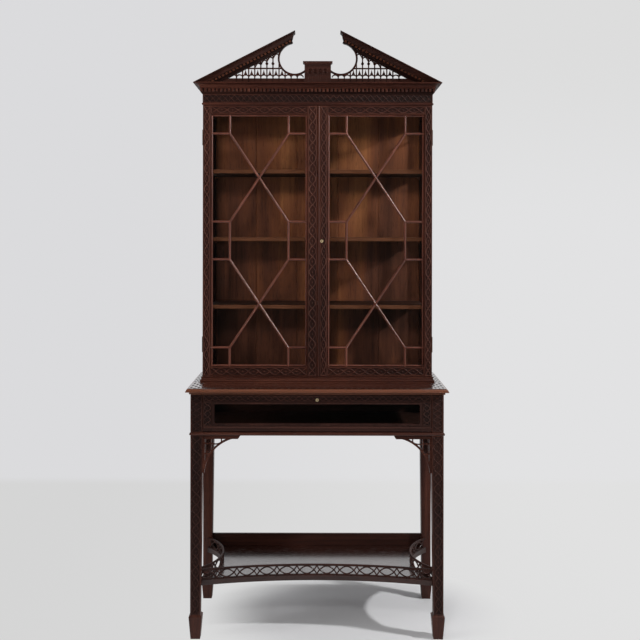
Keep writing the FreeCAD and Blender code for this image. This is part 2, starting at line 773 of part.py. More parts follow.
FRONT_UNITS = 12
END_UNITS = 5
front_gallery_half = leg_out - leg_at(shelf_top + S.gallery_height) - S.gallery_play
front_gallery = place(gallery("front_gallery", front_radius, front_gallery_half, FRONT_UNITS, 1),
                      0, front_centre_y, shelf_top)
node("front_gallery", front_gallery)
end_gallery_half = end_half - S.gallery_play - (leg_at(shelf_top + S.gallery_height) - leg_hold)
left_gallery = place(gallery("left_gallery", end_radius, end_gallery_half, END_UNITS, 2),
                     -end_centre_x, end_middle_y, shelf_top, -90)
node("left_gallery", left_gallery)
node("right_gallery", mirrored("right_gallery", left_gallery))


# Stand: table top with its moulded edge

def table_top():
    """A board whose front and ends have a thumb moulding over a cove, with a keep for the lock bolt."""
    body = new_body("table_top")
    out = leg_out + S.top_overhang
    front = leg_front - S.top_overhang
    blank = sketch_on(body, "XY_Plane")
    outline(blank, rectangle(-out, front, out, leg_back))
    grow(body, "Pad", blank, S.top_thickness)
    tip_high = S.top_thickness - S.top_nose_drop
    tip_low = tip_high - S.top_nose_flat

    def waste(edge, inward):
        """What the moulding plane takes away above and below the nose of one edge."""
        outside = edge - inward * S.overrun
        above = [(outside, tip_high), (edge, tip_high, -inward * S.top_nose_radius),
                 (edge + inward * S.top_nose_inset, S.top_thickness),
                 (edge + inward * S.top_nose_inset, S.top_thickness + S.overrun),
                 (outside, S.top_thickness + S.overrun)]
        below = [(outside, tip_low), (outside, -S.overrun),
                 (edge + inward * S.top_cove_inset, -S.overrun),
                 (edge + inward * S.top_cove_inset, as_size(0), -inward * S.top_cove_radius),
                 (edge, tip_low)]
        return above, below

    front_waste = sketch_on(body, "YZ_Plane")
    for points in waste(front, 1):
        outline(front_waste, points)
    grow(body, "Pocket", front_waste)
    end_waste = sketch_on(body, "XZ_Plane")
    for edge, inward in ((-out, 1), (out, -1)):
        for points in waste(edge, inward):
            outline(end_waste, points)
    grow(body, "Pocket", end_waste)
    keep = sketch_on(body, "XY_Plane")
    half = S.fall_bolt_width / 2 + S.lock_play
    bolt_y = fall_back - S.lock_thickness / 2
    room = S.bolt_thickness / 2 + S.lock_play
    outline(keep, rectangle(-half, bolt_y - room, half, bolt_y + room))
    grow(body, "Pocket", keep, S.keep_depth - S.fall_head_play, backwards=True)
    place(body, 0, 0, box_top)
    return node("table_top", body)


table_top()

# Cabinet: base, sides, back and shelves

node("bottom_board", board("bottom_board", (-case_out, case_face, S.stand_height),
                           (S.cabinet_width, S.cabinet_depth, S.board_thickness)))
base_step = S.base_moulding_step
mitred_runs("base_moulding", case_out, case_face, leg_back, S.stand_height,
            [(as_size(0), as_size(0)), (S.base_moulding_projection, as_size(0)),
             (S.base_moulding_projection, S.board_thickness / 2, -base_step),
             (S.base_moulding_projection - base_step, S.board_thickness / 2 + base_step),
             (S.base_moulding_projection - base_step, S.board_thickness - base_step, base_step),
             (as_size(0), S.board_thickness)], S.base_moulding_projection)

side_length = leg_back - case_edge


def hinge_recesses(name, low_x, low_y, run_x, run_y, base):
    """The shallow mortises of both hinge leaves on one edge."""
    boxes = []
    for number, height in enumerate(hinge_heights):
        boxes.append(board(f"{name}_{number}", (low_x, low_y, height - S.hinge_length / 2 - base),
                           (run_x, run_y, S.hinge_length)))
    return group(f"{name}_recesses", boxes)


side_recess = hinge_recesses("side_hinge", side_length - S.leaf_thickness, as_size(0),
                             S.leaf_thickness, S.hinge_leaf, case_floor)
left_side = glazed_frame("left_side_frame", side_length, S.door_zone, S.side_thickness, S.side_stile,
                         S.side_stile, S.side_bottom_rail, S.side_top_rail, S.door_lip,
                         S.door_rebate, [("right_stile", side_recess)])
node("left_side_frame", place(left_side, -case_out, leg_back, case_floor, -90))
node("right_side_frame", mirrored("right_side_frame", left_side))

side_open_width = side_length - 2 * S.side_stile
side_open_height = S.door_zone - S.side_bottom_rail - S.side_top_rail
pane_grow = S.door_rebate - S.pane_play
left_pane = board("left_side_pane",
                  (S.door_lip - case_out, leg_back - S.side_stile + pane_grow,
                   case_floor + S.side_bottom_rail - pane_grow),
                  (side_open_width + 2 * pane_grow, S.pane_thickness,
                   side_open_height + 2 * pane_grow), -90)
node("side_panes", group("side_panes", [left_pane, mirrored("right_side_pane", left_pane)]))
left_bars = sash_bars("left_side_astragals", side_open_width, side_open_height, S.side_sash_inset)
node("left_side_astragals", place(left_bars, S.door_lip - case_out, leg_back - S.side_stile,
                                  case_floor + S.side_bottom_rail, -90))
node("right_side_astragals", mirrored("right_side_astragals", left_bars))

BACK_BOARDS = 5


def back_boards():
    """Upright boards side by side, with a small V where two meet."""
    width = 2 * case_in / BACK_BOARDS
    groove = S.back_groove
    made = []
    for number in range(BACK_BOARDS):
        body = new_body(f"back_board_{number}")
        sketch = sketch_on(body, "XY_Plane")
        outline(sketch, [(as_size(0), groove), (groove, as_size(0)), (width - groove, as_size(0)),
                         (width, groove), (width, S.back_thickness), (as_size(0), S.back_thickness)])
        grow(body, "Pad", sketch, S.door_zone + S.frieze_height)
        made.append(place(body, number * width - case_in, back_face, case_floor))
    return node("back_boards", group("back_boards", made))


back_boards()

SHELVES = ("bottom_shelf", "middle_shelf", "top_shelf")
shelf_heights = [case_floor + S.lowest_bay + number * S.shelf_pitch for number in range(len(SHELVES))]
shelf_front = case_edge + S.case_shelf_inset
for shelf_name, height in zip(SHELVES, shelf_heights):
    node(shelf_name, board(shelf_name, (S.case_shelf_play - case_in, shelf_front, height),
                           (2 * (case_in - S.case_shelf_play), back_face - shelf_front - S.case_shelf_play,
                            S.case_shelf_thickness)))


def shelf_bearers():
    """Small blocks on the stiles under both ends of every shelf, sloped below."""
    made = []
    for height in shelf_heights:
        for middle_y in (case_edge + S.side_stile / 2, (leg_back - S.side_stile + back_face) / 2):
            body = new_body(f"bearer_{len(made)}")
            sketch = sketch_on(body, "XZ_Plane")
            outline(sketch, [(as_size(0), as_size(0)), (as_size(0), -S.bearer_drop),
                             (S.bearer_reach, -S.bearer_lip), (S.bearer_reach, as_size(0))])
            grow(body, "Pad", sketch, S.bearer_width, both=True)
            made.append(place(body, -case_in, middle_y, height))
    left = group("left_bearers", made)
    return node("shelf_bearers", group("shelf_bearers", [left, mirrored("right_bearers", left)]))


shelf_bearers()

# Cabinet: frieze, dentils and cornice

frieze_bead_half = S.frieze_bead_height / 2
bead_low = S.frieze_bead_rise
bead_high = bead_low + S.frieze_bead_height
mitred_runs("frieze", case_out, case_face, leg_back, case_head,
            [(-S.side_thickness, as_size(0)), (as_size(0), as_size(0)),
             (as_size(0), bead_low, arc_radius(frieze_bead_half, S.frieze_bead_projection)),
             (as_size(0), bead_high), (as_size(0), S.frieze_height),
             (-S.side_thickness, S.frieze_height)],
            S.frieze_bead_projection, S.side_thickness)

frieze_back = case_face + S.side_thickness
lid_span = (2 * case_in, back_face - frieze_back, S.ceiling_thickness)
node("ceiling_board", board("ceiling_board", (-case_in, frieze_back, case_head), lid_span))
node("cornice_board", board("cornice_board", (-case_in, frieze_back, cornice_top - S.ceiling_thickness),
                            lid_span))


def cornice_profile(top):
    """Fillet, cove, fascia for the dentils and ovolo, from the top down to the bed."""
    return [
        (as_size(0), top), (as_size(0), as_size(0), 0 - S.cornice_ovolo_radius),
        (S.cornice_fascia, top - S.cornice_fascia_drop), (S.cornice_fascia, top - S.cornice_cove_drop),
        (S.cornice_cove_projection, top - S.cornice_cove_drop, -S.cornice_cove_radius),
        (S.cornice_projection, top - S.cornice_fillet), (S.cornice_projection, top),
    ]


mitred_runs("cornice", case_out, case_face, leg_back, cornice_top - S.cornice_height,
            cornice_profile(S.cornice_height), S.cornice_projection)


def dentil_strip(name, length):
    """A thin strip with a row of square blocks in front of it. It runs along +X from the origin, and
    the blocks stand out towards -Y."""
    body = new_body(name)
    web = sketch_on(body, "XY_Plane")
    outline(web, rectangle(as_size(0), -S.dentil_web, length, as_size(0)))
    grow(body, "Pad", web, S.dentil_height)
    count = whole((length - S.dentil_width) / S.dentil_pitch) + 1
    run = (count - 1) * S.dentil_pitch
    start = (length - run - S.dentil_width) / 2
    tooth = sketch_on(body, "XY_Plane")
    outline(tooth, rectangle(start, -S.dentil_projection, start + S.dentil_width, as_size(0)))
    block = grow(body, "Pad", tooth, S.dentil_height)
    row_of = body.newObject("PartDesign::LinearPattern", f"{name}_row")
    row_of.Originals = [block]
    row_of.Direction = (origin_of(body, "X_Axis"), [""])
    bind(row_of, "Length", run)
    bind(row_of, "Occurrences", count)
    body.Tip = row_of
    return body


dentil_z = cornice_top - S.cornice_cove_drop - S.dentil_drop - S.dentil_height
dentil_out = case_out + S.cornice_fascia
front_dentils = place(dentil_strip("front_dentils", 2 * (dentil_out + S.dentil_projection)),
                      -dentil_out - S.dentil_projection, case_face - S.cornice_fascia, dentil_z)
left_dentils = place(dentil_strip("left_dentils", S.cabinet_depth + S.cornice_fascia),
                     -dentil_out, leg_back, dentil_z, -90)
node("dentil_course", group("dentil_course", [front_dentils, left_dentils,
                                              mirrored("right_dentils", left_dentils)]))

# Pediment

rake_out = case_out + S.cornice_projection - S.dentil_web
rake_in = S.pediment_gap / 2
rake_slope = S.pediment_rise / (rake_out - rake_in)
RETURN_SHARES = ((0.0, -0.11), (0.5, -0.27), (0.68, -0.56), (0.93, -0.78), (0.64, -0.9), (1.0, -1.0))


def raking_cornice():
    """The left raking cornice: the cornice's section and its dentils carried up the slope, its foot on
    the cornice and its upper end cut to the outline of a small return over the scroll ring."""
    section = doc.addObject("Sketcher::SketchObject", "rake_section")
    section.Placement.Rotation = Rotation(Vector(1, 1, 1), 120)
    section.setExpression("Placement.Base.x", (-rake_out).text)
    section.setExpression("Placement.Base.y", case_face.text)
    section.setExpression("Placement.Base.z", (cornice_top - S.rake_height).text)
    profile = cornice_profile(S.rake_height)
    points = [(-point[0], point[1], *[-radius for radius in point[2:]]) for point in profile[1:]]
    points += [(S.rake_thickness, S.rake_height), (S.rake_thickness, as_size(0))]
    outline(section, in_chords(points))
    bar = doc.addObject("Part::Extrusion", "rake_bar")
    bar.Base = section
    bar.DirMode = "Custom"
    bar.Dir = Vector(1, 0, rake_slope.value)
    run = rake_out - rake_in
    bind(bar, "Dir.z", rake_slope)
    length = root(run * run + run * rake_slope * (run * rake_slope))
    bind(bar, "LengthFwd", length)
    bar.Solid = True
    teeth = place(dentil_strip("rake_dentils", length), -rake_out, case_face - S.cornice_fascia,
                  cornice_top - S.cornice_fascia_drop + S.rake_dentil_rise)
    teeth.Placement.Rotation = Rotation(Vector(0, -1, 0), slope_angle(rake_slope).value)
    bind(teeth, "Placement.Rotation.Angle", slope_angle(rake_slope))

    reach = S.cornice_projection + S.overrun
    depth = reach + S.rake_thickness + S.overrun
    below = board("rake_below", (-rake_out - S.overrun, case_face - reach,
                                 cornice_top - S.rake_height - S.overrun),
                  (run + 2 * S.overrun, depth, S.rake_height + S.overrun))
    hollow = rod("rake_hollow", (-S.ring_out, case_face - reach, cornice_top + S.ring_rise),
                 S.ring_radius, depth, Vector(0, 1, 0))
    tip_z = cornice_top + S.pediment_rise
    end = doc.addObject("Sketcher::SketchObject", "rake_end")
    end.Placement.Rotation = Rotation(Vector(1, 0, 0), 90)
    end.setExpression("Placement.Base.y", (case_face + S.rake_thickness + S.overrun).text)
    edge = [(-rake_in - across * S.return_projection, tip_z + down * S.rake_height)
            for across, down in RETURN_SHARES]
    right = S.overrun - rake_in
    outline(end, [(right, tip_z + S.overrun), (-rake_in, tip_z + S.overrun)] + edge
            + [(edge[-1][0], tip_z - 2 * S.rake_height), (right, tip_z - 2 * S.rake_height)])
    profile_cut = doc.addObject("Part::Extrusion", "rake_end_cut")
    profile_cut.Base = end
    profile_cut.DirMode = "Normal"
    bind(profile_cut, "LengthFwd", depth)
    profile_cut.Solid = True
    waste = fuse("rake_waste", [below, hollow, profile_cut])
    return cut("left_raking_cornice", fuse("rake_stock", [bar, teeth]), waste)


left_rake = node("left_raking_cornice", raking_cornice())
node("right_raking_cornice", mirrored("right_raking_cornice", left_rake))


def pediment_fret():
    """The left pierced fret under the raking cornice: a base rail, pickets with small ogee arches and
    spears between them, a cross bar, a second row with bulbs and flared heads, and the scroll ring.
    It is drawn for the right side in true heights, and turned over at the end."""
    base = cornice_top.value
    slope = rake_slope.value
    thick = S.fret_thickness.value
    pitch = S.picket_pitch.value
    plinth = S.plinth_width.value / 2
    ring = Vector(S.ring_out.value, 0, base + S.ring_rise.value)
    hole = S.ring_radius.value
    foot = rake_out.value - S.rake_height.value / slope

    def soffit(x):
        return slope * (foot - x) + base

    def plate(points):
        corners = [Vector(x, 0, z) for x, z in points]
        return Part.Face(Part.makePolygon(corners + corners[:1])).extrude(Vector(0, thick, 0))

    def strap(start, end, thickness):
        along = Vector(end[0] - start[0], 0, end[1] - start[1]).normalize()
        across = along.cross(Vector(0, 1, 0)) * (thickness / 2)
        return plate([(start[0] + across.x, start[1] + across.z), (end[0] + across.x, end[1] + across.z),
                      (end[0] - across.x, end[1] - across.z), (start[0] - across.x, start[1] - across.z)])

    def leaf(x, z, wide, tall):
        return plate([(x - wide / 2, z), (x, z - tall / 2), (x + wide / 2, z), (x, z + tall / 2)])

    def drum(radius):
        return Part.makeCylinder(radius, thick, ring, Vector(0, 1, 0))

    base_top = base + S.fret_base.value
    bar_z = base + S.fret_bar_rise.value
    springing = base + S.arch_rise.value
    peak = base + S.arch_peak.value
    strap_width = S.arch_strap.value
    spear_low = peak - strap_width
    spear_top = base + S.spear_rise.value
    reach = S.flare_reach.value
    pieces = [drum(hole + S.ring_band.value),
              plate([(plinth, base), (foot, base), (foot, base_top), (plinth, base_top)]),
              strap((ring.x, bar_z), (foot, bar_z), S.fret_bar_width.value)]
    outermost = S.picket_first.value + pitch
    for number in range(int((outermost - plinth) / pitch) + 1):
        x = outermost - number * pitch
        middle = x - pitch / 2
        for side in (-1, 1):
            pieces.append(strap((middle + side * pitch / 2, springing), (middle, peak), strap_width))
        pieces.append(leaf(middle, (spear_low + spear_top) / 2, S.spear_width.value, spear_top - spear_low))
        if number:
            pieces.append(strap((x, base), (x, soffit(x)), S.picket_width.value))
            pieces.append(leaf(x, base + S.bulb_rise.value, S.bulb_width.value, S.bulb_height.value))
            pieces.append(plate([(x, soffit(x) - S.flare_drop.value), (x + reach, soffit(x + reach)),
                                 (x, soffit(x - 2 * reach)), (x - reach, soffit(x - reach))]))
    meet = ring.x + hole * math.cos(math.radians(S.ring_meeting_turn.value))
    room = plate([(plinth, base), (foot, base), (meet, soffit(meet)), (ring.x, ring.z), (plinth, ring.z)])
    fret = pieces[0].multiFuse(pieces[1:]).common(room).cut(drum(hole)).removeSplitter()
    turned = max(fret.Solids, key=lambda solid: solid.Volume).mirror(Vector(), Vector(1, 0, 0))
    return place(set_shape("left_pediment_fret", turned), 0, case_face + S.fret_setback, 0)


left_fret = node("left_pediment_fret", pediment_fret())
node("right_pediment_fret", mirrored("right_pediment_fret", left_fret))

SLOTS = 4


def plinth_block():
    """The block between the two frets: a square body with four arched slots, a cove and a cap."""
    body = new_body("centre_plinth")
    half = S.plinth_width / 2
    cap = S.plinth_cap_width / 2
    high = S.plinth_height
    cap_low = high - S.plinth_cap_height
    flare = cap - half
    sketch = sketch_on(body, "XZ_Plane")
    outline(sketch, [(-half, as_size(0)), (half, as_size(0)), (half, cap_low - S.plinth_cove, -flare),
                     (cap, cap_low), (cap, high), (-cap, high), (-cap, cap_low, -flare),
                     (-half, cap_low - S.plinth_cove)])
    grow(body, "Pad", sketch, S.plinth_depth, backwards=True)
    slots = sketch_on(body, "XZ_Plane")
    half_slot = S.slot_width / 2
    head = S.slot_sill + S.slot_height - half_slot
    for number in range(SLOTS):
        x = (number - (SLOTS - 1) / 2) * S.slot_pitch
        outline(slots, [(x - half_slot, S.slot_sill), (x + half_slot, S.slot_sill),
                        (x + half_slot, head, half_slot), (x, head + half_slot, half_slot),
                        (x - half_slot, head)])
    grow(body, "Pocket", slots, S.slot_depth)
    place(body, 0, case_face - S.plinth_lead, cornice_top)
    return node("centre_plinth", body)


plinth_block()

# Doors

open_width = door_width - S.stile - S.meeting_stile
open_height = door_height - S.door_top_rail - S.door_bottom_rail
lock_middle = door_height / 2
lock_half = S.lock_height / 2
bolt_half = S.bolt_width / 2
bolt_front = S.door_thickness - S.lock_thickness / 2 - S.bolt_thickness / 2
key_z = door_low + lock_middle


def keyhole(name, x, low_y, z, run):
    """The upright slot for a key, cut along Y."""
    return board(name, (x - S.keyhole_width / 2, low_y, z - S.keyhole_height / 2),
                 (S.keyhole_width, run, S.keyhole_height))


left_leaf_recess = hinge_recesses("left_door_hinge", as_size(0), S.door_thickness - S.leaf_thickness,
                                  S.hinge_leaf, S.leaf_thickness, door_low)
keep_recess = board("bolt_keep", (door_width - S.keep_depth, bolt_front - S.lock_play,
                                  lock_middle - bolt_half - S.lock_play),
                    (S.keep_depth + S.overrun, S.bolt_thickness + 2 * S.lock_play,
                     S.bolt_width + 2 * S.lock_play))
left_door = glazed_frame("left_door_frame", door_width, door_height, S.door_thickness, S.stile,
                         S.meeting_stile, S.door_bottom_rail, S.door_top_rail, S.door_lip,
                         S.door_rebate, [("left_stile", left_leaf_recess), ("right_stile", keep_recess)])
node("left_door_frame", place(left_door, -case_out, case_face, door_low))

right_leaf_recess = hinge_recesses("right_door_hinge", door_width - S.hinge_leaf,
                                   S.door_thickness - S.leaf_thickness, S.hinge_leaf,
                                   S.leaf_thickness, door_low)
lock_recess = board("lock_recess", (as_size(0) - S.overrun, S.door_thickness - S.lock_thickness,
                                    lock_middle - lock_half),
                    (S.lock_width + S.overrun, S.lock_thickness + S.overrun, S.lock_height))
key_bore = keyhole("door_key_bore", S.key_inset, as_size(0) - S.overrun, lock_middle, S.door_thickness)
right_door = glazed_frame("right_door_frame", door_width, door_height, S.door_thickness,
                          S.meeting_stile, S.stile, S.door_bottom_rail, S.door_top_rail, S.door_lip,
                          S.door_rebate, [("right_stile", right_leaf_recess), ("left_stile", lock_recess),
                                          ("left_stile", key_bore)])
node("right_door_frame", place(right_door, door_inner, case_face, door_low))

pane_low = (case_face + S.door_lip, door_low + S.door_bottom_rail - pane_grow)
pane_span = (open_width + 2 * pane_grow, S.pane_thickness, open_height + 2 * pane_grow)
left_door_pane = node("left_door_pane", board("left_door_pane", (S.stile - pane_grow - case_out, *pane_low),
                                              pane_span))
node("right_door_pane", mirrored("right_door_pane", left_door_pane))
left_sash = sash_bars("left_door_astragals", open_width, open_height, S.sash_inset)
node("left_door_astragals", place(left_sash, S.stile - case_out, case_face + S.door_lip,
                                  door_low + S.door_bottom_rail))
node("right_door_astragals", mirrored("right_door_astragals", left_sash))


def butt_hinges(side_name):
    """Both hinges of the left door: case leaves with their end knuckles and pin, and door leaves with
    the middle knuckle round that pin."""
    axis_x = -case_out - S.knuckle_offset
    axis_y = door_back + S.joint_gap / 2
    third = S.hinge_length / 3
    case_leaves = []
    door_leaves = []
    for number, height in enumerate(hinge_heights):
        low = height - S.hinge_length / 2
        tag = f"{side_name}_{number}"
        web = S.knuckle_offset
        case_parts = [board(f"{tag}_case_leaf", (-case_out, case_edge, low),
                            (S.hinge_leaf, S.leaf_thickness, S.hinge_length)),
                      rod(f"{tag}_pin", (axis_x, axis_y, low), S.hinge_pin_radius, S.hinge_length,
                          Vector(0, 0, 1))]
        for end, base in (("low", low), ("high", low + 2 * third)):
            case_parts.append(rod(f"{tag}_{end}_knuckle", (axis_x, axis_y, base), S.knuckle_radius, third,
                                  Vector(0, 0, 1)))
            case_parts.append(board(f"{tag}_{end}_web", (axis_x, case_edge, base),
                                    (web, S.leaf_thickness, third)))
        case_leaves.append(fuse(f"{tag}_case_side", case_parts))
        middle = low + third + S.knuckle_play
        middle_length = third - 2 * S.knuckle_play
        blank = fuse(f"{tag}_door_blank", [
            board(f"{tag}_door_leaf", (-case_out, door_back - S.leaf_thickness, low),
                  (S.hinge_leaf, S.leaf_thickness, S.hinge_length)),
            rod(f"{tag}_middle_knuckle", (axis_x, axis_y, middle), S.knuckle_radius, middle_length,
                Vector(0, 0, 1)),
            board(f"{tag}_middle_web", (axis_x, door_back - S.leaf_thickness, middle),
                  (web, S.leaf_thickness, middle_length)),
        ])
        bore = rod(f"{tag}_bore", (axis_x, axis_y, low), S.hinge_pin_radius + S.pin_clearance,
                   S.hinge_length, Vector(0, 0, 1))
        door_leaves.append(cut(f"{tag}_door_side", blank, bore))
    return case_leaves, door_leaves


case_leaves, door_leaves = butt_hinges("hinge")
left_case_hinges = node("left_case_hinges", group("left_case_hinges", case_leaves))
node("right_case_hinges", mirrored("right_case_hinges", left_case_hinges))
left_door_hinges = node("left_door_hinges", group("left_door_hinges", door_leaves))
node("right_door_hinges", mirrored("right_door_hinges", left_door_hinges))


def escutcheon(name, x, face, z):
    """A small brass plate round a keyhole."""
    disc = rod(f"{name}_disc", (x, face - S.escutcheon_thickness, z), S.escutcheon_radius,
               S.escutcheon_thickness, Vector(0, 1, 0))
    return cut(name, disc, keyhole(f"{name}_hole", x, face - S.overrun, z, 2 * S.overrun))


def door_lock():
    """The lock let into the back of the right door's meeting stile, and its sliding bolt."""
    low_y = door_back - S.lock_thickness
    bolt_y = case_face + bolt_front
    shell = board("door_lock_shell", (door_inner, low_y, key_z - lock_half),
                  (S.lock_width, S.lock_thickness, S.lock_height))
    slot = board("door_lock_slot", (door_inner - S.overrun, bolt_y - S.lock_play,
                                    key_z - bolt_half - S.lock_play),
                 (S.overrun + S.bolt_set_back + S.bolt_length + S.lock_play,
                  S.bolt_thickness + 2 * S.lock_play, S.bolt_width + 2 * S.lock_play))
    plate = escutcheon("door_escutcheon", door_inner + S.key_inset, case_face, key_z)
    node("door_lock", group("door_lock", [cut("door_lock_case", shell, slot), plate]))
    bolt_low = (door_inner + S.bolt_set_back, bolt_y, key_z - bolt_half)
    node("door_lock_bolt", board("door_lock_bolt", bolt_low,
                                 (S.bolt_length, S.bolt_thickness, S.bolt_width)))


door_lock()

# Fall front of the display compartment

fall_height = fall_high - fall_low
fall_open_width = 2 * (fall_out - S.fall_stile)
fall_open_height = fall_height - S.fall_top_rail - S.fall_bottom_rail


def fall_bottom_rail():
    """The bottom rail, rounded about its pivot so that it turns close over the front rail."""
    body = new_body("fall_bottom_member")
    section = sketch_on(body, "YZ_Plane")
    pivot = S.fall_pivot
    outline(section, [(pivot, as_size(0)), (S.fall_thickness, as_size(0)),
                      (S.fall_thickness, S.fall_bottom_rail), (as_size(0), S.fall_bottom_rail),
                      (as_size(0), pivot, pivot)])
    grow(body, "Pad", section, 2 * fall_out, both=True)
    for side in (-1, 1):
        bore = sketch_on(body, "YZ_Plane", side * fall_out)
        round_outline(bore, pivot, pivot, S.pivot_pin_radius + S.pin_clearance)
        grow(body, "Pocket", bore, S.pivot_pin_seat, backwards=side < 0)
    return place(body, 0, leg_front, fall_low)


def fall_frame():
    """Rails over the full width, stiles between them, and the raised lip that holds the pane."""
    rails = [fall_bottom_rail()]
    stile_z = fall_low + S.fall_bottom_rail
    for tag, x in (("left", -fall_out), ("right", fall_out - S.fall_stile)):
        rails.append(board(f"fall_{tag}_stile", (x, leg_front, stile_z),
                           (S.fall_stile, S.fall_thickness, fall_open_height)))
    top_z = fall_high - S.fall_top_rail
    blank = board("fall_top_blank", (-fall_out, leg_front, top_z),
                  (2 * fall_out, S.fall_thickness, S.fall_top_rail))
    recess = board("fall_lock_recess", (-S.fall_lock_width / 2, fall_back - S.lock_thickness,
                                        fall_high - S.fall_lock_height),
                   (S.fall_lock_width, S.lock_thickness + S.overrun, S.fall_lock_height + S.overrun))
    key = keyhole("fall_key_bore", as_size(0), leg_front - S.overrun, fall_high - S.fall_key_drop,
                  S.fall_thickness)
    rails.append(cut("fall_top_member", blank, fuse("fall_top_waste", [recess, key])))

    lip = new_body("fall_lip")
    ring = sketch_on(lip, "XZ_Plane")
    half = fall_open_width / 2
    outline(ring, rectangle(-half, as_size(0), half, fall_open_height))
    inner_x = half - S.lip_width
    low = S.lip_width
    high = fall_open_height - S.lip_width
    bend = S.lip_corner
    outline(ring, [
        (bend - inner_x, low), (inner_x - bend, low, bend), (inner_x, low + bend),
        (inner_x, high - bend, bend), (inner_x - bend, high), (bend - inner_x, high, bend),
        (-inner_x, high - bend), (-inner_x, low + bend, bend)])
    grow(lip, "Pad", ring, S.lip_depth, backwards=True)
    rails.append(place(lip, 0, leg_front - S.lip_projection, stile_z))
    node("fall_frame", group("fall_frame", rails))
    play = S.pane_play
    node("fall_pane", board("fall_pane", (play - half, leg_front - S.lip_projection + S.lip_depth,
                                          stile_z + play),
                            (fall_open_width - 2 * play, S.pane_thickness, fall_open_height - 2 * play)))
    left_pin = rod("left_fall_pin", (-fall_out - S.pivot_pin_reach, pivot_y, pivot_z), S.pivot_pin_radius,
                   S.pivot_pin_reach + S.pivot_pin_seat, Vector(1, 0, 0))
    node("fall_pivot_pins", group("fall_pivot_pins", [left_pin, mirrored("right_fall_pin", left_pin)]))


fall_frame()


def fall_lock():
    """The lock in the fall front's top rail, whose bolt rises into the table top."""
    half = S.fall_lock_width / 2
    bolt_half_width = S.fall_bolt_width / 2
    bolt_y = fall_back - S.lock_thickness / 2 - S.bolt_thickness / 2
    bolt_low = fall_high - S.bolt_set_back - S.fall_bolt_length
    shell = board("fall_lock_shell", (-half, fall_back - S.lock_thickness, fall_high - S.fall_lock_height),
                  (S.fall_lock_width, S.lock_thickness, S.fall_lock_height))
    slot = board("fall_lock_slot", (-bolt_half_width - S.lock_play, bolt_y - S.lock_play,
                                    bolt_low - S.lock_play),
                 (S.fall_bolt_width + 2 * S.lock_play, S.bolt_thickness + 2 * S.lock_play,
                  S.fall_bolt_length + S.bolt_set_back + S.overrun))
    plate = escutcheon("fall_escutcheon", as_size(0), leg_front, fall_high - S.fall_key_drop)
    node("fall_lock", group("fall_lock", [cut("fall_lock_case", shell, slot), plate]))
    node("fall_lock_bolt", board("fall_lock_bolt", (-bolt_half_width, bolt_y, bolt_low),
                                 (S.fall_bolt_width, S.bolt_thickness, S.fall_bolt_length)))


fall_lock()

# Checks, then one file for each piece

doc.recompute()
failed = [thing.Label for thing in doc.Objects if {"Invalid", "Error"} & set(thing.State)]
if failed:
    raise SystemExit(f"pieces that failed: {failed}")
for name, thing in nodes.items():
    if thing.Shape.isNull() or not thing.Shape.isValid() or not thing.Shape.Solids:
        raise SystemExit(f"the shape of {name} is empty or not valid")
os.makedirs("parts", exist_ok=True)
for name, thing in nodes.items():
    thing.Shape.exportStep(f"parts/{name}.step")
box = Part.makeCompound([thing.Shape for thing in nodes.values()]).BoundBox
edges = (box.XMin, box.YMin, box.ZMin, box.XMax, box.YMax, box.ZMax)
print(len(nodes), "pieces, box", [round(edge, 2) for edge in edges])
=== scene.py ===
import math

import bmesh
import bpy
import numpy as np
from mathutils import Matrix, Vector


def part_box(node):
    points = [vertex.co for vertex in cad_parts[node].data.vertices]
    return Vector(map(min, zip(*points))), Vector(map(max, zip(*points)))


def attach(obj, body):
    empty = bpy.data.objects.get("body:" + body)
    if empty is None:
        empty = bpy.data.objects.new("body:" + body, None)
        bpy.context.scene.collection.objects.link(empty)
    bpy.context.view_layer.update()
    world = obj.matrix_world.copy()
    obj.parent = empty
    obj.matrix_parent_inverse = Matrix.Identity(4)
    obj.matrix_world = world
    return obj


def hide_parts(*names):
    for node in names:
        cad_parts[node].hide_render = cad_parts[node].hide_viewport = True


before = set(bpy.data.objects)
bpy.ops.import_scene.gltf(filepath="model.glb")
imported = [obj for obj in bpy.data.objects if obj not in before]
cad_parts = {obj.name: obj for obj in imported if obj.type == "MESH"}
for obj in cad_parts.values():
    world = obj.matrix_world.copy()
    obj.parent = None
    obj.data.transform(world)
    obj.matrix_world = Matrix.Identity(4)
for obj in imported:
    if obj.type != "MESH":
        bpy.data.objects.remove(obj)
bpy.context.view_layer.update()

# A carved mahogany display cabinet on its stand: the fine work and the finishes, in metres.
# Every place is worked out from the boxes of the frame's nodes.


class Sizes:
    """Sizes in metres, counts, angles and shares, each with its name."""

    def __init__(self, **named):
        self.__dict__.update(named)


CARCASE, FALL_FRONT = "carcase", "fall_front"
SIDES = {"left": -1, "right": 1}
UP, FORWARD, BACKWARD = (0, 0, 1), (0, -1, 0), (0, 1, 0)
CREASE = math.radians(32)
SAME_PLACE, SAME_PLANE = 2e-6, math.radians(0.6)
BEHIND = -0.002
EASE = Sizes(board=0.0012, frame=0.0010, thin=0.0007)
CARVING = Sizes(ground=0.0003, bed=0.0006, shoulder=0.0005, strap=0.0034, narrow=0.0026, fine=0.0016,
                border=0.0022, under=0.85, grid_along=0.0013, grid_across=0.0009)
EYE = Sizes(width=0.24, height=0.8, lean=1.9, hole_lean=1.6)
RING = Sizes(reach=0.22, height=0.7, lean=1.1)
KEY = Sizes(long=0.24, tall=0.62)
LOZENGE = Sizes(row=0.58, long=0.3, tall=0.24)
LEG = Sizes(ankle=0.036, width=0.044, foot_height=0.089, margin=0.003, proud=0.002, pitch=0.038, rise=0.0013)
POST = Sizes(pitch=0.0225, rise=LEG.rise)
FRIEZE = Sizes(bead_top=0.0105, bead_out=0.004, margin=0.0012, end=0.002, rise=0.0012, pitch=0.024)

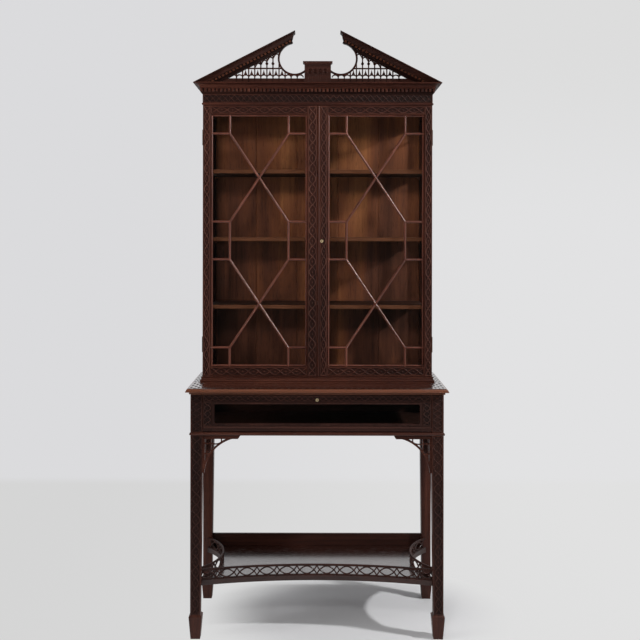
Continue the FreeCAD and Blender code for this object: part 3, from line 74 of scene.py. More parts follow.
# Boxes and faces that several pieces share
top_low, top_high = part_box("table_top")
bead_low, bead_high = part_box("waist_bead")
case_low, case_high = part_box("bottom_board")
base_low, base_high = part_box("base_moulding")
cornice_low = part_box("cornice")[0]
plinth_low, plinth_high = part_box("centre_plinth")
rake_low, rake_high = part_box("left_raking_cornice")
fret_low, fret_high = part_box("left_pediment_fret")
leg_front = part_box("front_rail")[0].y
leg_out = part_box("right_end_frame")[1].x + LEG.proud
RAKE_SLOPE = (rake_high.z - rake_low.z) / (rake_high.x - rake_low.x)


def rake_underside(distance):
    """The height of a raking cornice's underside at a distance from the middle, a number or a wire."""
    return (-fret_low.x - distance) * RAKE_SLOPE + rake_low.z


# Shapes: every surface is a stack of closed cross sections

def skin(loops):
    """Points, face corners and face sizes of the surface over a stack of closed cross sections. Point j of
    section i is loops[i, j]; four neighbours make a face, and a flat face closes the first and the last
    section. A sum of determinants gives the volume, whose sign says whether the faces look outwards."""
    loops = np.asarray(loops, float)
    count, corners = loops.shape[:2]
    number = np.arange(count * corners).reshape(count, corners)
    here, after = number[:-1], number[1:]
    quads = np.stack([here, np.roll(here, -1, axis=1), np.roll(after, -1, axis=1), after], -1).reshape(-1, 4)
    caps = [number[0][::-1], number[-1]]
    triangles = [quads[:, :3], quads[:, [0, 2, 3]]]
    triangles += [np.stack([np.full(corners - 2, cap[0]), cap[1:-1], cap[2:]], 1) for cap in caps]
    points = loops.reshape(-1, 3)
    solid = points[np.concatenate(triangles)] - points.mean(0)
    if np.einsum("ij,ij->i", solid[:, 0], np.cross(solid[:, 1], solid[:, 2])).sum() < 0:
        quads = quads[:, ::-1]
        caps = [cap[::-1] for cap in caps]
    sizes = np.append(np.full(len(quads), 4), [corners, corners])
    return points, np.concatenate([quads.ravel(), *caps]), sizes


def placed(name, data):
    """A new object in the scene, at the origin."""
    made = bpy.data.objects.new(name, data)
    bpy.context.scene.collection.objects.link(made)
    return made


def finished(name, mesh, finish, body, replaces):
    """The object of a mesh that is smooth where its faces meet at less than the crease angle."""
    mesh.shade_smooth()
    mesh.set_sharp_from_angle(angle=CREASE)
    mesh.materials.clear()
    mesh.materials.append(finish)
    made = placed(name, mesh)
    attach(made, body)
    if replaces:
        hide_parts(*replaces)
    return made


def piece(name, shells, finish, body=CARCASE, replaces=(), marks=None):
    """One object from any number of skins. Marks are values on the points that a finish reads."""
    points, corners, sizes = zip(*shells)
    starts = np.cumsum([0] + [len(part) for part in points[:-1]])
    corners = np.concatenate([part + start for part, start in zip(corners, starts)])
    points, sizes = np.concatenate(points), np.concatenate(sizes)
    mesh = bpy.data.meshes.new(name)
    mesh.vertices.add(len(points))
    mesh.vertices.foreach_set("co", points.astype(np.float32).ravel())
    mesh.loops.add(len(corners))
    mesh.loops.foreach_set("vertex_index", corners.astype(np.int32))
    mesh.polygons.add(len(sizes))
    mesh.polygons.foreach_set("loop_start", (np.cumsum(sizes) - sizes).astype(np.int32))
    mesh.update(calc_edges=True)
    if marks is not None:
        mesh.attributes.new("rise", "FLOAT", "POINT").data.foreach_set("value", marks.astype(np.float32))
    finished(name, mesh, finish, body, replaces)


def eased(node, width, finish, body):
    """A CAD node with its sharp edges rounded over: a merged copy of its mesh under a Bevel modifier."""
    name = f"{node}_eased"
    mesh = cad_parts[node].data.copy()
    mesh.name = name
    work = bmesh.new()
    work.from_mesh(mesh)
    bmesh.ops.remove_doubles(work, verts=work.verts, dist=SAME_PLACE)
    bmesh.ops.dissolve_limit(work, angle_limit=SAME_PLANE, verts=work.verts, edges=work.edges)
    bmesh.ops.recalc_face_normals(work, faces=work.faces)
    work.to_mesh(mesh)
    work.free()
    bevel = finished(name, mesh, finish, body, (node,)).modifiers.new("eased_edges", "BEVEL")
    bevel.width = width
    bevel.segments = 2
    bevel.limit_method = "ANGLE"
    bevel.angle_limit = CREASE
    bevel.harden_normals = True


def arc(start, end, bulge, count=8):
    """Points of a quarter round from start to end: start + (end - start) * (sin t, 1 - cos t), or with the
    sine and cosine exchanged where the round is hollow."""
    t = np.linspace(0, math.pi / 2, count)[:, None]
    share = np.hstack([np.sin(t), 1 - np.cos(t)] if bulge else [1 - np.cos(t), np.sin(t)])
    return np.asarray(start, float) + np.subtract(end, start) * share


def half_round(low, high, depth, count=11):
    """Points of a half round over an edge: depth * sin t out, and from low to high by (1 - cos t) / 2."""
    t = np.linspace(0, math.pi, count)
    return np.stack([depth * np.sin(t), low + (high - low) * (1 - np.cos(t)) / 2], 1)


def dome(reach, rise, base=0.0):
    """Points of a half ellipse over a base: (-reach cos t, base + rise sin t)."""
    t = np.linspace(0, math.pi, 9)
    return np.stack([-reach * np.cos(t), base + rise * np.sin(t)], 1)


def closed(profile, behind=BEHIND):
    """A profile closed behind the face that it stands on."""
    return np.concatenate([profile, [[behind, profile[-1, 1]], [behind, profile[0, 1]]]])


def three_runs(profile, half, front, back, base):
    """A moulding along both ends and the front, mitred at the corners. A point (out, up) of the profile
    lies out from the face on every run, so at a corner it lies out both ways."""
    out, up = profile.T
    return skin([np.stack([side * (half + out), y - mitre * out, base + up], 1)
                 for side, y, mitre in ((-1, back, 0), (-1, front, 1), (1, front, 1), (1, back, 0))])


def bar(start, end, section, out):
    """A straight bar of one section, whose points are (across, out)."""
    start, end, out = (np.asarray(v, float) for v in (start, end, out))
    along = (end - start) / np.linalg.norm(end - start)
    shape = section[:, :1] * np.cross(along, out) + section[:, 1:] * out
    return skin([start + shape, end + shape])


# Carving: reliefs over a flat face, as heights over a grid

def strap(distance, width=CARVING.strap):
    """1 on a strap and 0 beside it: the smooth step of how far a point lies inside the strap's edge."""
    t = np.clip((width / 2 + CARVING.shoulder - distance) / (2 * CARVING.shoulder), 0, 1)
    return t * t * (3 - 2 * t)


def nearest(u, v, lines):
    """How far each point is from the nearest of some straight lines (u1, v1, u2, v2)."""
    best = np.full(np.broadcast(u, v).shape, np.inf)
    for u1, v1, u2, v2 in lines:
        du, dv = u2 - u1, v2 - v1
        t = np.clip(((u - u1) * du + (v - v1) * dv) / (du * du + dv * dv), 0, 1)
        best = np.minimum(best, np.hypot(u - u1 - t * du, v - v1 - t * dv))
    return best


def borders(v, half):
    """A raised fillet along both edges of the strip."""
    return strap(np.abs(half - CARVING.border / 2 - np.abs(v)), CARVING.border)


def chain_of_ovals(u, v, half, pitch):
    """Two waves, v = ± reach cos(pi u / pitch), whose loops are pointed ovals, with a small diamond sunk
    into every crossing and another raised inside every loop."""
    reach = half - CARVING.border - CARVING.strap / 2
    slope = reach * math.pi / pitch * np.sin(math.pi * u / pitch)
    lean = np.sqrt(1 + slope * slope)
    level = reach * np.cos(math.pi * u / pitch)
    waves = np.maximum(strap(np.abs(v - level) / lean), CARVING.under * strap(np.abs(v + level) / lean))
    eye = np.abs((u / pitch + 0.5) % 1 - 0.5) * pitch / EYE.lean + np.abs(v)
    hole = np.abs((u / pitch) % 1 - 0.5) * pitch / EYE.hole_lean + np.abs(v)
    raised = np.maximum(waves, EYE.height * strap(eye, EYE.width * pitch / EYE.lean))
    return np.maximum(np.minimum(raised, 1 - strap(hole, CARVING.fine)), borders(v, half))


def lattice(u, v, half, pitch):
    """Two sets of slanting straps that cross, and a small diamond ring in every mesh. How far a point is
    from the nearest strap is |((u ± lean v) / pitch) mod 1 - 1/2| * pitch over the root of
    1 + lean squared."""
    lean = pitch / (2 * (half - CARVING.border))
    face = borders(v, half)
    for side, share in ((1, 1.0), (-1, CARVING.under)):
        t = ((u + side * lean * v) / pitch) % 1
        face = np.maximum(face, share * strap(np.abs(t - 0.5) * pitch / np.hypot(1, lean), CARVING.narrow))
    ring = np.abs(np.abs((u / pitch) % 1 - 0.5) * pitch + np.abs(v) * RING.lean - RING.reach * pitch)
    return np.maximum(face, RING.height * strap(ring, CARVING.fine))


def key_fret(u, v, half, pitch):
    """Straight straps in a repeated cell: a cross from corner to corner, an upright between cells and a
    lozenge round the middle."""
    reach = half - CARVING.border
    cell = (u / pitch + 0.5) % 1 * pitch - pitch / 2
    end, long, tall = pitch / 2, KEY.long * pitch, KEY.tall * reach
    lines = [(-end, -reach, end, reach), (-end, reach, end, -reach), (end, -reach, end, reach),
             (-end, -reach, -end, reach), (-long, 0, 0, tall), (0, tall, long, 0), (long, 0, 0, -tall),
             (0, -tall, -long, 0)]
    return np.maximum(strap(nearest(cell, v, lines), CARVING.narrow), borders(v, half))


def lozenges(u, v, half, pitch):
    """Three rows of sunk lozenges, the middle row half a pitch along. A point is in one where
    |du| / (long pitch) + |dv| / (tall half) is under 1."""
    face = np.ones(np.broadcast(u, v).shape)
    for row, shift in ((-LOZENGE.row, 0.0), (0.0, 0.5), (LOZENGE.row, 0.0)):
        du = np.abs((u / pitch + shift) % 1 - 0.5) * pitch
        dv = np.abs(v - row * half)
        tall = LOZENGE.tall * half
        face = np.minimum(face, 1 - strap((du / (LOZENGE.long * pitch) + dv / tall - 1) * tall, 0.0))
    return face


ARCADE = Sizes(tall=0.050, below_top=0.044, half=0.047, sunk=0.005, pitch=0.0235, rise=0.0022, slot=0.34,
               head=0.004, foot=0.003, baluster=0.0013, stem_top=-0.002, ball=-0.012, stem_height=0.6)


def arcade(u, v, half, pitch):
    """Round-headed slots side by side. A point is in a slot where |u| < w below the springing, or within w
    of the arch's centre above it; a turned baluster stands in the lower half of each."""
    w = ARCADE.slot * pitch
    cell = ((u / pitch) % 1 - 0.5) * pitch
    spring = half - ARCADE.head - w
    side = np.where(v > spring, np.hypot(cell, v - spring), np.abs(cell)) - w
    slot = strap(np.maximum(side, ARCADE.foot - half - v), 0.0)
    stem = np.maximum(strap(nearest(cell, v, [(0, -1, 0, ARCADE.stem_top)]), ARCADE.baluster),
                      strap(np.hypot(cell, v - ARCADE.ball), 2 * ARCADE.baluster))
    return np.maximum(1 - slot, ARCADE.stem_height * stem)


def carved_strip(start, end, out, widths, pattern, cut, clearing=None):
    """A relief as a stack of cross sections. At u along the strip and v from its middle line the surface
    stands out by ground + cut.rise * pattern(u, v); each section is closed a little way inside the wood. The
    pitch, cut.pitch, is fitted so that a whole number of cells fills the strip. Widths are one, or one for
    each end. A clearing (centre, radius) is left flat for a lock plate. Returns the skin, and the heights as
    marks."""
    start, end, out = (np.asarray(v, float) for v in (start, end, out))
    widths = np.broadcast_to(widths, 2)
    length = np.linalg.norm(end - start)
    along = (end - start) / length
    across = np.cross(out, along)
    pitch = length / max(1, round(length / cut.pitch))
    u = np.linspace(0, length, int(length / CARVING.grid_along) + 2)
    share = np.linspace(-1, 1, int(max(widths) / CARVING.grid_across) + 2)
    half = np.interp(u, [0, length], widths / 2)[:, None]
    v = share[None, :] * half
    height = pattern(u[:, None], v, half, pitch)
    height = np.maximum(height, strap(np.minimum(u, length - u), 2 * CARVING.border)[:, None])
    if clearing is not None:
        away = clearing[0] - start
        gap = np.hypot(u[:, None] - away @ along, v - away @ across)
        height = height * (1 - strap(gap, 2 * clearing[1]))
    surface = (start + u[:, None, None] * along + v[..., None] * across
               + (CARVING.ground + cut.rise * height)[..., None] * out)
    bed = start + u[:, None, None] * along - CARVING.bed * out
    side = half[..., None] * across
    marks = np.concatenate([height, np.zeros((len(u), 2))], 1)
    return skin(np.concatenate([surface, bed + side, bed - side], 1)), marks.ravel()


def face_strip(span, ends, upright, face, cut, clearing=None):
    """A chain of ovals on a face to the front, over a span less its margins, and from end to end."""
    middle = (span[0] + span[1]) / 2
    start, end = [(middle, face, z) for z in ends] if upright else [(x, face, middle) for x in ends]
    return carved_strip(start, end, FORWARD, span[1] - span[0] - 2 * cut.margin, chain_of_ovals, cut, clearing)


def carving(name, strips, finish, body=CARCASE):
    """One object from several carved strips on one body."""
    piece(name, [shell for shell, _ in strips], finish, body,
          marks=np.concatenate([marks for _, marks in strips]))


# Shader maths

def paint(code):
    """A display colour in six hex digits, as the linear values that a shader takes."""
    parts = [int(code[i:i + 2], 16) / 255 for i in (0, 2, 4)]
    return (*[p / 12.92 if p <= 0.04045 else ((p + 0.055) / 1.055) ** 2.4 for p in parts], 1.0)


def worked(operation, swapped=False):
    """A method of Wire that adds one Math node for its wire and another value, in this or the other order."""
    def method(wire, *other):
        values = (*other, wire) if swapped else (wire, *other)
        return wire.finish.add("ShaderNodeMath", {"operation": operation}, values)
    return method


class Wire:
    """The output socket of a shader node. Sums on wires and numbers add the Math nodes that work them out."""

    def __init__(self, finish, socket):
        self.finish = finish
        self.socket = socket

    __add__, __radd__ = worked("ADD"), worked("ADD", True)
    __sub__, __rsub__ = worked("SUBTRACT"), worked("SUBTRACT", True)
    __mul__, __rmul__ = worked("MULTIPLY"), worked("MULTIPLY", True)
    __truediv__, __pow__ = worked("DIVIDE"), worked("POWER")
    over, under, most = worked("GREATER_THAN"), worked("LESS_THAN"), worked("MAXIMUM")
    size, floor = worked("ABSOLUTE"), worked("FLOOR")

    def between(self, low, high):
        """0 up to low and 1 from high, with a smooth step between them."""
        return self.finish.add("ShaderNodeMapRange", {"interpolation_type": "SMOOTHSTEP"},
                               {"Value": self, "From Min": low, "From Max": high})


class Finish:
    """A material, or a world, and the nodes that are added to it."""

    def __init__(self, name, world=None):
        self.material = world or bpy.data.materials.new(name)
        self.material.use_nodes = True
        self.tree = self.material.node_tree
        self.tree.nodes.clear()
        self.end = self.tree.nodes.new("ShaderNodeOutputWorld" if world else "ShaderNodeOutputMaterial")

    def add(self, kind, settings=None, values=(), output=0):
        """One node: its settings, then the values or wires of its sockets, by name or in their order."""
        made = self.tree.nodes.new(kind)
        for key, value in (settings or {}).items():
            if key == "stops":
                while len(made.color_ramp.elements) < len(value):
                    made.color_ramp.elements.new(0.5)
                for element, (position, colour) in zip(made.color_ramp.elements, value):
                    element.position = position
                    element.color = colour
            else:
                setattr(made, key, value)
        for key, value in values.items() if isinstance(values, dict) else enumerate(values):
            if isinstance(value, Wire):
                self.tree.links.new(value.socket, made.inputs[key])
            else:
                made.inputs[key].default_value = value
        return Wire(self, made.outputs[output])

    def place(self, output="Object"):
        """The three object coordinates, or in a world the direction."""
        spot = self.add("ShaderNodeTexCoord", output=output)
        parts = self.add("ShaderNodeSeparateXYZ", values=(spot,))
        return [Wire(self, output) for output in parts.socket.node.outputs]

    def join(self, x, y, z):
        return self.add("ShaderNodeCombineXYZ", values=(x, y, z))

    def noise(self, place, scale, along=1.0, detail=2.0, distortion=0.0):
        """Noise from 0 to 1 over the place, drawn out along the last axis the smaller its share."""
        spot = self.add("ShaderNodeMapping", values={"Vector": place, "Scale": (1, 1, along)})
        return self.add("ShaderNodeTexNoise", values={"Vector": spot, "Scale": scale, "Detail": detail,
                                                      "Distortion": distortion})

    def ramp(self, value, stops):
        return self.add("ShaderNodeValToRGB", {"stops": [(at, paint(code)) for at, code in stops]}, (value,))

    def mix(self, share, first, second):
        """The first colour or vector where the share is 0, the second where it is 1. Text is a colour."""
        first, second = (paint(colour) if isinstance(colour, str) else colour for colour in (first, second))
        return self.add("ShaderNodeMix", {"data_type": "RGBA"}, {0: share, 6: first, 7: second}, output=2)

    def bump(self, height, distance, strength=1.0):
        return self.add("ShaderNodeBump", values={"Strength": strength, "Distance": distance,
                                                  "Height": height})

    def rays(self, *kinds):
        """1 for rays of these kinds and 0 for all others."""
        total, *others = [self.add("ShaderNodeLightPath", output=f"Is {kind} Ray") for kind in kinds]
        for other in others:
            total = total.most(other)
        return total

    def close(self, shader):
        """Ends the material or the world with a shader."""
        self.tree.links.new(shader.socket, self.end.inputs["Surface"])
        return self.material

    def surface(self, **values):
        """Ends the material with one Principled shader."""
        return self.close(self.add("ShaderNodeBsdfPrincipled",
                                   values={key.replace("_", " "): value for key, value in values.items()}))


# Grains: a piece's coordinates, turned so that the last one runs along its grain

def grain_along(*order):
    """A grain along the last of three axes."""
    def grain(place, finish):
        return finish.join(*[place[axis] for axis in order])
    return grain


along_x, along_y, along_z = grain_along(2, 1, 0), grain_along(0, 2, 1), grain_along(0, 1, 2)


def framed(opening, across):
    """Upright grain in the stiles, and level grain in the rails above and below the opening."""
    low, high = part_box(opening)
    axis = 0 if across is along_x else 1
    middle, reach = (low[axis] + high[axis]) / 2, (high[axis] - low[axis]) / 2

    def grain(place, finish):
        between_stiles = (place[axis] - middle).size().under(reach)
        in_rail = between_stiles * (place[2].under(low.z) + place[2].over(high.z))
        return finish.mix(in_rail, along_z(place, finish), across(place, finish))
    return grain


def mitred(node, projection):
    """Grain along each run, with the change at the mitre: |x| - half > front - y on an end run."""
    low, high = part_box(node)
    half, front = high.x - projection, low.y + projection

    def grain(place, finish):
        on_end = (place[0].size() - half).over(front - place[1])
        return finish.mix(on_end, along_x(place, finish), along_y(place, finish))
    return grain


# Parts of a piece, as 0 or 1 by place

TEETH = Sizes(pitch=0.0152, width=0.0085, ease=0.0007, below=0.0020, tall=0.0120, inside=0.0050, gap=0.008,
              end_start=0.6, rake_from=(0.0118, 0.0124), rake_to=(0.0214, 0.0222))
SKIN_BAND, EDGE_BAND = (0.0010, 0.0002), (0.001, 0.003)


def behind_teeth(x, y, z):
    """1 on what lies behind the faces of the dentils: the gaps between them, and the wood below, which the
    finishes darken as painted shade.
    """
    return y.over(case_low.y - TEETH.gap) * x.size().under(case_high.x + TEETH.gap)


def all_but_rake_teeth(x, y, z):
    """0 on the faces of the raking cornice's teeth, which lie in a band over its underside and which the finish
    makes paler as a painted highlight.
    """
    over = z - rake_underside(x.size())
    band = over.between(*TEETH.rake_from) * (1 - over.between(*TEETH.rake_to))
    return 1 - band * (1 - behind_teeth(x, y, z))


def top_of(node):
    """1 on a board's upper face and 0 on its edges."""
    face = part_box(node)[1].z

    def upper(x, y, z):
        return z.between(*[face - below for below in SKIN_BAND])
    return upper


def behind_shelf_edge(x, y, z):
    """1 behind the front edges of the case's shelves."""
    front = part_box("middle_shelf")[0].y
    return y.between(*[front + behind for behind in EDGE_BAND])


# Finishes

CARVED = [(0.30, "25100b"), (0.48, "3d1f17"), (0.62, "4f2b20"), (0.80, "673d2f")]
DARK = [(0.30, "1b0c09"), (0.48, "2d1813"), (0.62, "3b2019"), (0.80, "4d2f26")]
# A paler mahogany for the astragals, greyed to paint the highlight on their beads.
BRIGHT = [(0.28, "3f1f17"), (0.46, "5e3124"), (0.62, "723f2f"), (0.82, "8a5244")]
INSIDE = [(0.22, "3a1f17"), (0.40, "5b3427"), (0.60, "7c472f"), (0.85, "ac6d45")]
# The first colour darkens pores with dirt, and carved grounds and dentil gaps with dirt and painted shade; the
# second pales carved tops with wear and a painted highlight; the third is a painted highlight on unpolished
# edges.
DIRT_AND_SHADE, WEAR_AND_HIGHLIGHT, EDGE_HIGHLIGHT = "0d0605", "704b41", "8a5236"
WOOD = Sizes(figure=(7.0, 0.16), streak=(95.0, 0.035), pore=(620.0, 0.045), pore_step=(0.60, 0.72),
             figure_share=0.55, pore_dark=0.55, sunk_shade=0.72, streak_rough=0.16, pore_rough=0.22,
             ground_rough=0.2, edge_rough=0.22, ground_step=(0.05, 0.8), top_step=(0.75, 1.0),
             streak_depth=0.35, depth=0.00025, coat_rough=0.16, thick_coat=0.5, ior=1.5, thick_ior=1.9)
GLASS = Sizes(clear="fbfdfb", mirror="f4f8f6", least=0.04, slant=0.6, rough=0.03, wave=6.0, depth=0.002,
              strength=0.35)
BRASS = Sizes(age=60.0, age_step=(0.35, 0.7), scratch=(900.0, 0.1), brown=0.85, dull=0.35, rough=0.28,
              age_rough=0.3, depth=0.0001)
BOARD = Sizes(count=5, figure=1.05, streak=0.25, fade=0.34, shade_from=1.45, tone=0.51, jump=0.12, seed=3.5)


def mahogany(name, grain, colours, roughness, coat=0.0, dirt_and_shade=0.0, wear_and_highlight=0.0, sheen=0.22, boards=None,
             sunk=None, polished=None):
    """Polished mahogany. Broad figure and fine streaks, both drawn out along the grain, set the tone; short
    dark pores lie over them; carved work is darkened in its ground by dirt and painted shade, and paler on its
    raised edges by wear and a painted highlight. What is sunk behind the dentils is darkened as painted shade.
    Where only a part is polished, the rest is rubbed, has no coat, and is paler as a painted highlight. Boards
    (low, width) differ from one to the next, and are paler towards the top and darker towards the bottom as
    painted shade."""
    finish = Finish(f"{name}_mahogany")
    x, y, z = finish.place()
    place = grain((x, y, z), finish)
    figure = finish.noise(place, *WOOD.figure, detail=3.0, distortion=0.6)
    streak = finish.noise(place, *WOOD.streak, detail=3.0)
    pores = finish.noise(place, *WOOD.pore, detail=1.0).between(*WOOD.pore_step)
    tone = figure * WOOD.figure_share + streak * (1 - WOOD.figure_share)
    if boards:
        low, width = boards
        number = ((x - low) / width).floor()
        jump = finish.add("ShaderNodeTexWhiteNoise", {"noise_dimensions": "1D"}, {"W": number + BOARD.seed})
        # The tone rises with height: a painted shade that darkens the lower boards.
        tone = ((figure - 0.5) * BOARD.figure + (streak - 0.5) * BOARD.streak + BOARD.tone
                + (z - BOARD.shade_from) * BOARD.fade + (jump - 0.5) * BOARD.jump)
    colour = finish.mix(pores * WOOD.pore_dark, finish.ramp(tone, colours), DIRT_AND_SHADE)
    shine = streak * WOOD.streak_rough + pores * WOOD.pore_rough + roughness
    ior = WOOD.thick_ior if coat > WOOD.thick_coat else WOOD.ior
    # Dirt and painted shade darken the carving's ground; wear and a painted highlight pale its raised tops.
    if dirt_and_shade:
        rise = finish.add("ShaderNodeAttribute", {"attribute_name": "rise"}, output="Fac")
        ground = 1 - rise.between(*WOOD.ground_step)
        colour = finish.mix(rise.between(*WOOD.top_step) * wear_and_highlight, colour, WEAR_AND_HIGHLIGHT)
        colour = finish.mix(ground * dirt_and_shade, colour, DIRT_AND_SHADE)
        shine = shine + ground * WOOD.ground_rough
        if coat:
            coat = (1 - ground) * coat
    # Painted shade darkens what lies behind the dentils.
    if sunk:
        colour = finish.mix(sunk(x, y, z) * WOOD.sunk_shade, colour, DIRT_AND_SHADE)
    # The unpolished part is paler as a painted highlight, rougher, and has no coat.
    if polished:
        face = polished(x, y, z)
        colour = finish.mix((1 - face) * wear_and_highlight, colour, EDGE_HIGHLIGHT)
        shine = shine + (1 - face) * WOOD.edge_rough
        coat = face * coat
    return finish.surface(Base_Color=colour, Roughness=shine, Specular_IOR_Level=sheen, Coat_Weight=coat,
                          Coat_Roughness=WOOD.coat_rough, Coat_IOR=ior,
                          Normal=finish.bump(streak * WOOD.streak_depth - pores, WOOD.depth))


def window_glass():
    """Old thin glass: clear from the front, and a mirror by least + slant (1 - cos) to the fifth, with a
    slow waviness in what it mirrors."""
    finish = Finish("window_glass")
    wave = finish.noise(finish.join(*finish.place()), GLASS.wave, detail=1.0)
    mirror = finish.add("ShaderNodeBsdfGlossy", values={
        "Color": paint(GLASS.mirror), "Roughness": GLASS.rough,
        "Normal": finish.bump(wave, GLASS.depth, GLASS.strength)})
    clear = finish.add("ShaderNodeBsdfTransparent", values={"Color": paint(GLASS.clear)})
    facing = finish.add("ShaderNodeLayerWeight", values={"Blend": 0.5}, output="Facing")
    share = GLASS.least + GLASS.slant * facing ** 5
    return finish.close(finish.add("ShaderNodeMixShader", values=(share, clear, mirror)))


def aged_brass(name, bright, dull, metal=1.0):
    """Brass, brown with age except where hands and keys have kept it bright."""
    finish = Finish(name)
    place = finish.join(*finish.place())
    age = finish.noise(place, BRASS.age, detail=4.0).between(*BRASS.age_step)
    scratch = finish.noise(place, *BRASS.scratch, detail=1.0)
    return finish.surface(Base_Color=finish.mix(age * BRASS.brown, bright, dull),
                          Metallic=metal - age * BRASS.dull, Roughness=BRASS.rough + age * BRASS.age_rough,
                          Normal=finish.bump(scratch, BRASS.depth))


board_low, board_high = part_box("back_boards")
# Carved finishes: the ground is darkened by dirt and painted shade, nearly black in the plinth's slots, and the
# raised tops are paler by wear and a painted highlight.
carved = mahogany("carved", along_z, CARVED, 0.46, dirt_and_shade=0.55, wear_and_highlight=0.3)
carved_dark = mahogany("carved_dark", along_z, DARK, 0.46, dirt_and_shade=0.45, wear_and_highlight=0.06)
carved_level = mahogany("carved_level", along_x, CARVED, 0.46, dirt_and_shade=0.6, wear_and_highlight=0.15)
carved_end = mahogany("carved_end", along_y, CARVED, 0.46, dirt_and_shade=0.75, wear_and_highlight=0.2)
carved_fall = mahogany("carved_fall", along_x, DARK, 0.46, dirt_and_shade=0.65, wear_and_highlight=0.15)
carved_frieze = mahogany("carved_frieze", along_x, DARK, 0.46, dirt_and_shade=0.6, wear_and_highlight=0.08)
carved_top = mahogany("carved_top", along_x, CARVED, 0.12, 0.9, dirt_and_shade=0.95, sheen=0.6)
carved_plinth = mahogany("carved_plinth", along_z, DARK, 0.46, dirt_and_shade=0.97)
upright = mahogany("upright", along_z, CARVED, 0.40, 0.08)
level = mahogany("level", along_x, CARVED, 0.40, 0.08)
dark_level = mahogany("dark_level", along_x, DARK, 0.40, 0.08)
# The table top's moulded edge is paler: a painted highlight.
table_wood = mahogany("table_top", along_x, CARVED, 0.14, 0.9, wear_and_highlight=0.45, sheen=0.6,
                      polished=top_of("table_top"))
shelf_wood = mahogany("lower_shelf", along_x, DARK, 0.14, 0.9, sheen=0.6, polished=top_of("lower_shelf"))
# The shelves' front edges are paler: a painted highlight.
case_shelf = mahogany("case_shelf", along_x, DARK, 0.42, wear_and_highlight=0.4, polished=behind_shelf_edge)
end_wood = mahogany("end_frame", framed("end_panes", along_y), CARVED, 0.38, 0.1)
side_wood = mahogany("side_frame", framed("left_side_astragals", along_y), CARVED, 0.40, 0.08)
fall_wood = mahogany("fall", framed("fall_pane", along_x), DARK, 0.40, 0.15, sheen=0.3)
frieze_wood = mahogany("frieze", mitred("frieze", FRIEZE.bead_out), CARVED, 0.40, 0.08)
# The rake's teeth faces are paler as a painted highlight, and the wood behind them is darkened as painted
# shade.
rake_wood = mahogany("rake", along_x, DARK, 0.44, wear_and_highlight=0.2, sunk=behind_teeth, polished=all_but_rake_teeth)
tooth_wood = mahogany("dentil", along_z, CARVED, 0.40, sunk=behind_teeth)
fret_wood = mahogany("fret", along_x, DARK, 0.50, sheen=0.15)
astragal_wood = mahogany("astragal", along_z, BRIGHT, 0.28, dirt_and_shade=0.6, sheen=0.9)
meeting_wood = mahogany("meeting_bead", along_z, CARVED, 0.36, dirt_and_shade=0.5, sheen=0.4)
inside_level = mahogany("inside_level", along_x, INSIDE, 0.36, 0.15)
inside_upright = mahogany("back_board", along_z, INSIDE, 0.40, 0.1,
                          boards=(board_low.x, (board_high.x - board_low.x) / BOARD.count))
glass = window_glass()
hinge_brass = aged_brass("hinge_brass", "5d4526", "22170d")
lock_brass = aged_brass("lock_brass", "dcc79c", "a08a5c", 0.5)

# CAD nodes that keep their shape, and those whose edges are rounded over
KEPT = (
    (glass, "end_panes side_panes left_door_pane right_door_pane fall_pane"),
    (hinge_brass, "left_case_hinges right_case_hinges left_door_hinges right_door_hinges"),
    (lock_brass, "door_lock door_lock_bolt fall_lock fall_lock_bolt fall_pivot_pins"),
    (inside_upright, "back_boards"),
    (inside_level, "ceiling_board cornice_board"),
)
for finish, nodes in KEPT:
    for node in nodes.split():
        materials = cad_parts[node].data.materials
        materials.clear()
        materials.append(finish)

EASED = [
    (EASE.board, upright, CARCASE, "front_left_leg front_right_leg rear_left_leg rear_right_leg"),
    (EASE.board, level, CARCASE, "front_rail bottom_board"),
    (EASE.board, dark_level, CARCASE, "rear_panel compartment_floor shelf_upstand"),
    (EASE.board, shelf_wood, CARCASE, "lower_shelf"),
    (EASE.board, case_shelf, CARCASE, "bottom_shelf middle_shelf top_shelf"),
    (EASE.frame, end_wood, CARCASE, "left_end_frame right_end_frame"),
    (EASE.frame, side_wood, CARCASE, "left_side_frame right_side_frame"),
    (EASE.thin, level, CARCASE, "front_left_bracket front_right_bracket left_end_brackets right_end_brackets"),
    (EASE.thin, inside_level, CARCASE, "shelf_bearers"),
    (EASE.thin, frieze_wood, CARCASE, "frieze"),
    (EASE.thin, rake_wood, CARCASE, "left_raking_cornice right_raking_cornice"),
    (EASE.thin, dark_level, CARCASE, "centre_plinth"),
    (EASE.thin, fall_wood, FALL_FRONT, "fall_frame"),
]
for side in SIDES:
    door_wood = mahogany(f"{side}_door", framed(f"{side}_door_astragals", along_x), CARVED, 0.40, 0.08)
    EASED.append((EASE.frame, door_wood, f"{side}_door", f"{side}_door_frame"))
for ease, finish, body, nodes in EASED:
    for node in nodes.split():
        eased(node, ease, finish, body)


# Stand: carved legs and posts, and the waist bead

def leg_strips(side):
    """The carved front and outer faces of one front leg, and of its post beside the compartment."""
    strips = []
    low, top = LEG.foot_height + LEG.margin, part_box("front_rail")[0].z - LEG.margin
    post_low, post_top = bead_high.z + LEG.margin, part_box("front_right_leg")[1].z - LEG.margin
    ankle, wide = LEG.ankle - 2 * LEG.margin, LEG.width - 2 * LEG.margin
    corner = np.array([side * leg_out, leg_front, 0.0])
    for across, out in (((-side, 0, 0), FORWARD), (BACKWARD, (side, 0, 0))):
        ankle_middle = corner + np.array(across) * LEG.ankle / 2
        middle = corner + np.array(across) * LEG.width / 2
        strips += [carved_strip(ankle_middle + (0, 0, low), middle + (0, 0, top), out, (ankle, wide),
                                chain_of_ovals, LEG),
                   carved_strip(middle + (0, 0, post_low), middle + (0, 0, post_top), out, wide, lattice,
                                POST)]
    return strips


for side, sign in SIDES.items():
    carving(f"{side}_leg_carving", leg_strips(sign), carved_dark)

